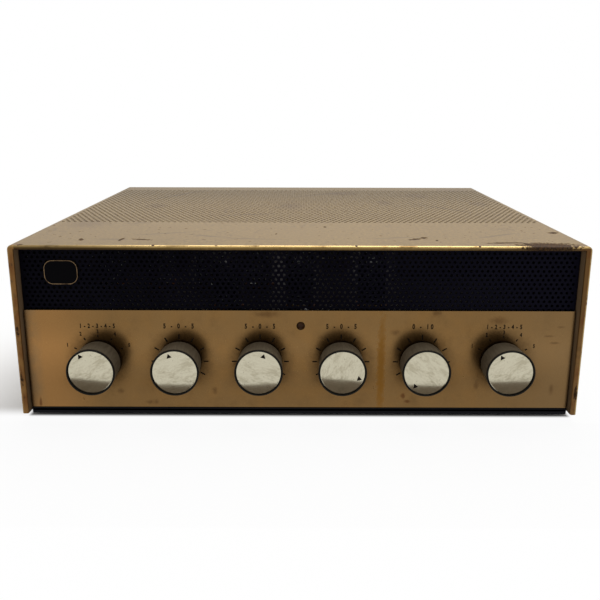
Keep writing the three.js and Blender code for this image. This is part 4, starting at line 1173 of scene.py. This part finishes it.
def fuse_form():
    """A holder with a ribbed screw cap. The ribs are every other side of the turned cap."""
    face = BOARD_BACK
    form = spin(bmesh.new(), [
        (0, FUSE_LOW.y), (6.5, FUSE_LOW.y, 0.5), (6.5, APRON + GAP), (9, APRON + GAP, 0.3), (9, face, 0.5),
        (6.6, face), (6.6, face + 0.4), (0, face + 0.4)], FUSE_SIDES, place=(FUSE.x, 0, FUSE.z))
    rows = [circle(FUSE.x, FUSE.z, radius, FUSE_SIDES) for radius in (6.5, 7.0)]
    ribs = [rows[k % 2][k] for k in range(FUSE_SIDES)]
    return cut_sheet(form, [ribs], face + 0.4, FUSE_HIGH.y, ease=0.3)


GROMMET = [(3.6, CORD_LOW.y), (8.5, CORD_LOW.y, 0.8), (8.5, APRON - 1.5, 0.3), (6, APRON - 1.5),
           (6, APRON + GAP), (8.5, APRON + GAP, 0.3), (8.5, CORD_HIGH.y, 1.1), (3.6, CORD_HIGH.y, 0.8),
           (3.6, CORD_LOW.y)]
fasten("fuse_cap", fuse_form(), moulded_black, stands_for="fuse_holder")
bush = spin_at([(CORD.x, 0, CORD.z)], GROMMET, 40)
fasten("cord_bush", bush, rubber_black, stands_for="cord_grommet")

# %% [markdown]
# ## Inside
# Through the vents one can see the tubes and the iron. Each tube is a thin glass bulb with its
# plate structure and mica discs inside, and a silvered patch near the top where the getter was
# fired. The bulb is a shell with real walls, because glass with no inner face bends light wrongly.

# %% Make the tubes
TUBES = [f"preamp_tube_{i}" for i in (1, 2, 3)] + [f"output_tube_{i}" for i in (1, 2, 3, 4)]


def bulb_form(low, high, middle):
    """A glass shell from its base to the sealed tip."""
    radius, place = (high.x - low.x) / 2, (middle.x, middle.y, 0)
    arc = [radians(a) for a in range(0, 80, 13)]
    side = [(radius * cos(a), high.z - 2.0 - radius * 0.7 * (1 - sin(a))) for a in arc]
    outside = [(0, low.z), (radius - 1.6, low.z), (radius, low.z + 2.4), *side, (1.5, high.z - 1.9),
               (0.8, high.z - 0.5), (0, high.z)]
    inside = [(max(r - 0.8, 0), min(max(z, low.z + 1.5), high.z - 2.8)) for r, z in reversed(outside)]
    return spin(spin(bmesh.new(), outside, 32, "Z", place), inside, 32, "Z", place)


def innards_form(low, high, middle):
    """Two mica discs, the plates between them, two posts and the getter ring."""
    form, radius, place = bmesh.new(), (high.x - low.x) / 2, (middle.x, middle.y, 0)
    foot, head = low.z + 7, low.z + (high.z - low.z) * 0.68
    ring, over_ring, mica, wide, deep = head + 4, head + 4.6, radius - 1.6, radius * 0.62, radius * 0.36
    for z in (foot, head):
        rod(form, mica, z, z + 0.4, 24, place)
    outline = rounded_box(middle.x - wide, middle.x + wide, middle.y - deep, middle.y + deep, radius * 0.2)
    cut_sheet(form, [outline], foot + 0.4, head, lying, ease=0.3)
    for side in (-1, 1):
        rod(form, 0.5, low.z + 2, ring, 8, (middle.x + side * radius * 0.72, middle.y, 0))
    getter = [(2.4, ring), (3.2, ring), (3.2, over_ring), (2.4, over_ring), (2.4, ring)]
    return spin(form, getter, 24, "Z", place)


@finish
def clear_glass(place):
    film = noise(place, 8)
    silver = step(axes(place)[2] + film * 4, 101.5, 104.5)
    return {"Base Color": mixed(silver, (236, 240, 236), (120, 118, 112)),
            "Roughness": 0.04 + film * 0.06 + silver * 0.1, "Metallic": silver * 0.9,
            "Transmission Weight": 0.92, "IOR": 1.48}


plates_grey = plated_steel("plates_grey", (84, 84, 86), (62, 62, 64), 0.5, 1)
for name in TUBES:
    fasten(f"{name}_bulb", bulb_form(*box_mm(name)), clear_glass, stands_for=name)
    fasten(f"{name}_plates", innards_form(*box_mm(name)), plates_grey)

# %% [markdown]
# The other inner parts keep their CAD shape. Each gets the finish of the real material: zinc on
# the chassis and controls, varnished laminations, black enamel on the transformer cover, brown
# laminate for the sockets, and a drawn aluminium can.


# %% Dress the parts that keep their CAD shape
@finish
def varnished_iron(place):
    """Stacked laminations: thin lines along the stack, under brown varnish."""
    leaves = noise(place, 0.6, detail=1, stretch=(0.02, 1, 0.02))
    drip = noise(place, 12)
    colour = mixed(step(drip, 0.5, 0.8), mixed(leaves, (44, 38, 34), (74, 66, 58)), (58, 40, 26))
    return {"Base Color": colour, "Roughness": 0.42 + drip * 0.15, "Metallic": 0.4,
            "Normal": bump(leaves, 0.5, 0.1)}


@finish
def drawn_aluminium(place):
    drawn = noise(place, 1.2, stretch=(1, 1, 0.05))
    dull = noise(place, 14)
    return {"Base Color": mixed(dull, (128, 125, 118), (104, 101, 94)), "Roughness": 0.3 + drawn * 0.15,
            "Metallic": 1.0, "Normal": bump(drawn, 0.2, 0.03)}


KEPT = {
    "chassis": chassis_zinc, "pilot_lamp_holder": bright_steel, "power_transformer_core": varnished_iron,
    "output_transformer_1": varnished_iron, "output_transformer_2": varnished_iron,
    "power_transformer_cover": satin_black, "filter_capacitor": drawn_aluminium,
}
for name in CONTROLS:
    KEPT[f"{name}_shaft"] = bright_steel
    KEPT[f"{name}_{'switch' if name in SWITCHES else 'pot'}"] = chassis_zinc
for name in TUBES:
    KEPT[f"{name}_socket"] = brown_laminate
for name, material in KEPT.items():
    for material_slot in nodes[name].material_slots:
        material_slot.material = material
print("CAD parts dressed:", len(KEPT))

# %% [markdown]
# ## Stage
# The photograph has a plain white ground and soft light. The floor shows as plain white, but for two
# places where its real shading is let through: under the case, and beside its left wall, where the
# photograph has a soft shadow. A dark card lies in front of each control. Only mirror-like surfaces
# see the cards, as the dark edge in the lower part of each disc. One more sheet in front of the
# case is there for soft light only: it keeps the floor from lighting the undersides too much.

# %% Lay the floor
FLOOR_LIFT, FLOOR_REACH = 0.95, 4000


def stage_plane(name, across, along, height, material, skew=0.0, hidden_from=()):
    """A flat sheet that belongs to the stage, in millimetres. Skew slants the edge that is far off."""
    form = bmesh.new()
    (x0, x1), (y0, y1) = across, along
    corners = ((x0, y0 - skew), (x1, y0 + skew), (x1, y1), (x0, y1))
    form.faces.new([form.verts.new((x, y, height)) for x, y in corners])
    plane = as_object(name, form)
    plane.data.materials.append(material)
    for rays in hidden_from:
        setattr(plane, f"visible_{rays}", False)


def any_seen(wire):
    """1 for the rays that show the background: from the camera, off a mirror or through glass."""
    camera_ray, glossy, through = (wire.node("ShaderNodeLightPath", output=f"Is {kind} Ray")
                                   for kind in ("Camera", "Glossy", "Transmission"))
    return camera_ray | glossy | through


def floor_white():
    material, place = empty_material("floor_white")
    x, y, _ = axes(place)
    beneath = step(abs(x), HALF_WIDTH + 1, HALF_WIDTH - 3) * step(y, -127.5, -123.5) * step(y, 147, 141)
    beside = step(x, -170, -178) * step(x, -370, -225) * step(y, 85, -75) * step(y, -128, -112) * 0.95
    far = place.node("ShaderNodeVectorMath", {"operation": "LENGTH"}, {0: place}, output="Value")
    faded = (step(far, 0.20, 0.40) * (1 - FLOOR_LIFT) + FLOOR_LIFT) * (1 - (beneath | beside))
    paper = place.node("ShaderNodeBsdfDiffuse", values={"Color": (0.80, 0.80, 0.80, 1)})
    glow = place.node("ShaderNodeEmission", values={"Color": (1, 1, 1, 1), "Strength": 1.0})
    both = place.node("ShaderNodeMixShader", values={0: faded * any_seen(place), 1: paper, 2: glow})
    below = place.node("ShaderNodeNewGeometry", output="Backfacing")
    clear = place.node("ShaderNodeBsdfTransparent")
    sided = place.node("ShaderNodeMixShader", values={0: below, 1: both, 2: clear})
    place.node("ShaderNodeOutputMaterial", values={"Surface": sided})
    return material


stage_plane("floor", (-FLOOR_REACH, FLOOR_REACH), (-FLOOR_REACH, FLOOR_REACH), 0, floor_white())

# %% Lay the dark cards
CARD_NEAR, CARD_WIDE, CARD_SPREAD = -180, 42, 1.18
# how far forward each card reaches, and the slant of that edge
CARD_EDGE = {"function": (-213.5, 4.0), "balance": (-215, 0.0), "treble": (-217.5, -2.5), "bass": (-219, 4.0),
             "volume": (-217, 1.0), "selector": (-217.5, -1.0)}
card_dark, card_place = empty_material("card_dark")
dark = card_place.node("ShaderNodeBsdfDiffuse", values={"Color": (0.17, 0.14, 0.115, 1)})
card_place.node("ShaderNodeOutputMaterial", values={"Surface": dark})
for name, x in zip(CONTROLS, KNOB_X):
    left, (far_edge, skew) = x * CARD_SPREAD - CARD_WIDE / 2, CARD_EDGE[name]
    stage_plane(f"dark_card_{name}", (left, left + CARD_WIDE), (far_edge, CARD_NEAR), 0.5, card_dark, skew,
                hidden_from=("camera", "diffuse", "shadow", "transmission"))
stage_plane("dark_shade", (-190, 190), (-240, -134), 0.3, card_dark,
            hidden_from=("camera", "glossy", "shadow", "transmission"))
print("dark cards:", len(CARD_EDGE))

# %% Light the stage
SKY_LEVEL, LAMP_POWER = 0.38, 30
LAMP_PLACE, LAMP_AIM = Vector((0.2, 0.35, 1.5)), Vector((0, 0, 0.1))
world = bpy.data.worlds.new("world")
world.use_nodes = True
world.node_tree.nodes.clear()
sky = Wire(world.node_tree)
soft = sky.node("ShaderNodeBackground", values={"Color": (1, 0.99, 0.97, 1), "Strength": SKY_LEVEL})
plain = sky.node("ShaderNodeBackground", values={"Color": (1, 1, 1, 1), "Strength": 1.0})
seen = sky.node("ShaderNodeMixShader", values={0: any_seen(sky), 1: soft, 2: plain})
sky.node("ShaderNodeOutputWorld", values={"Surface": seen})
bpy.context.scene.world = world

lamp_data = bpy.data.lights.new("overhead", "AREA")
lamp_data.shape, lamp_data.size, lamp_data.size_y, lamp_data.energy = "RECTANGLE", 1.6, 1.2, LAMP_POWER
lamp = linked("overhead", lamp_data)
lamp.location = LAMP_PLACE
lamp.rotation_euler = (LAMP_AIM - LAMP_PLACE).to_track_quat("-Z", "Y").to_euler()
bpy.context.scene.view_settings.view_transform = "Standard"
print("lamp at", [round(c, 3) for c in lamp.location])
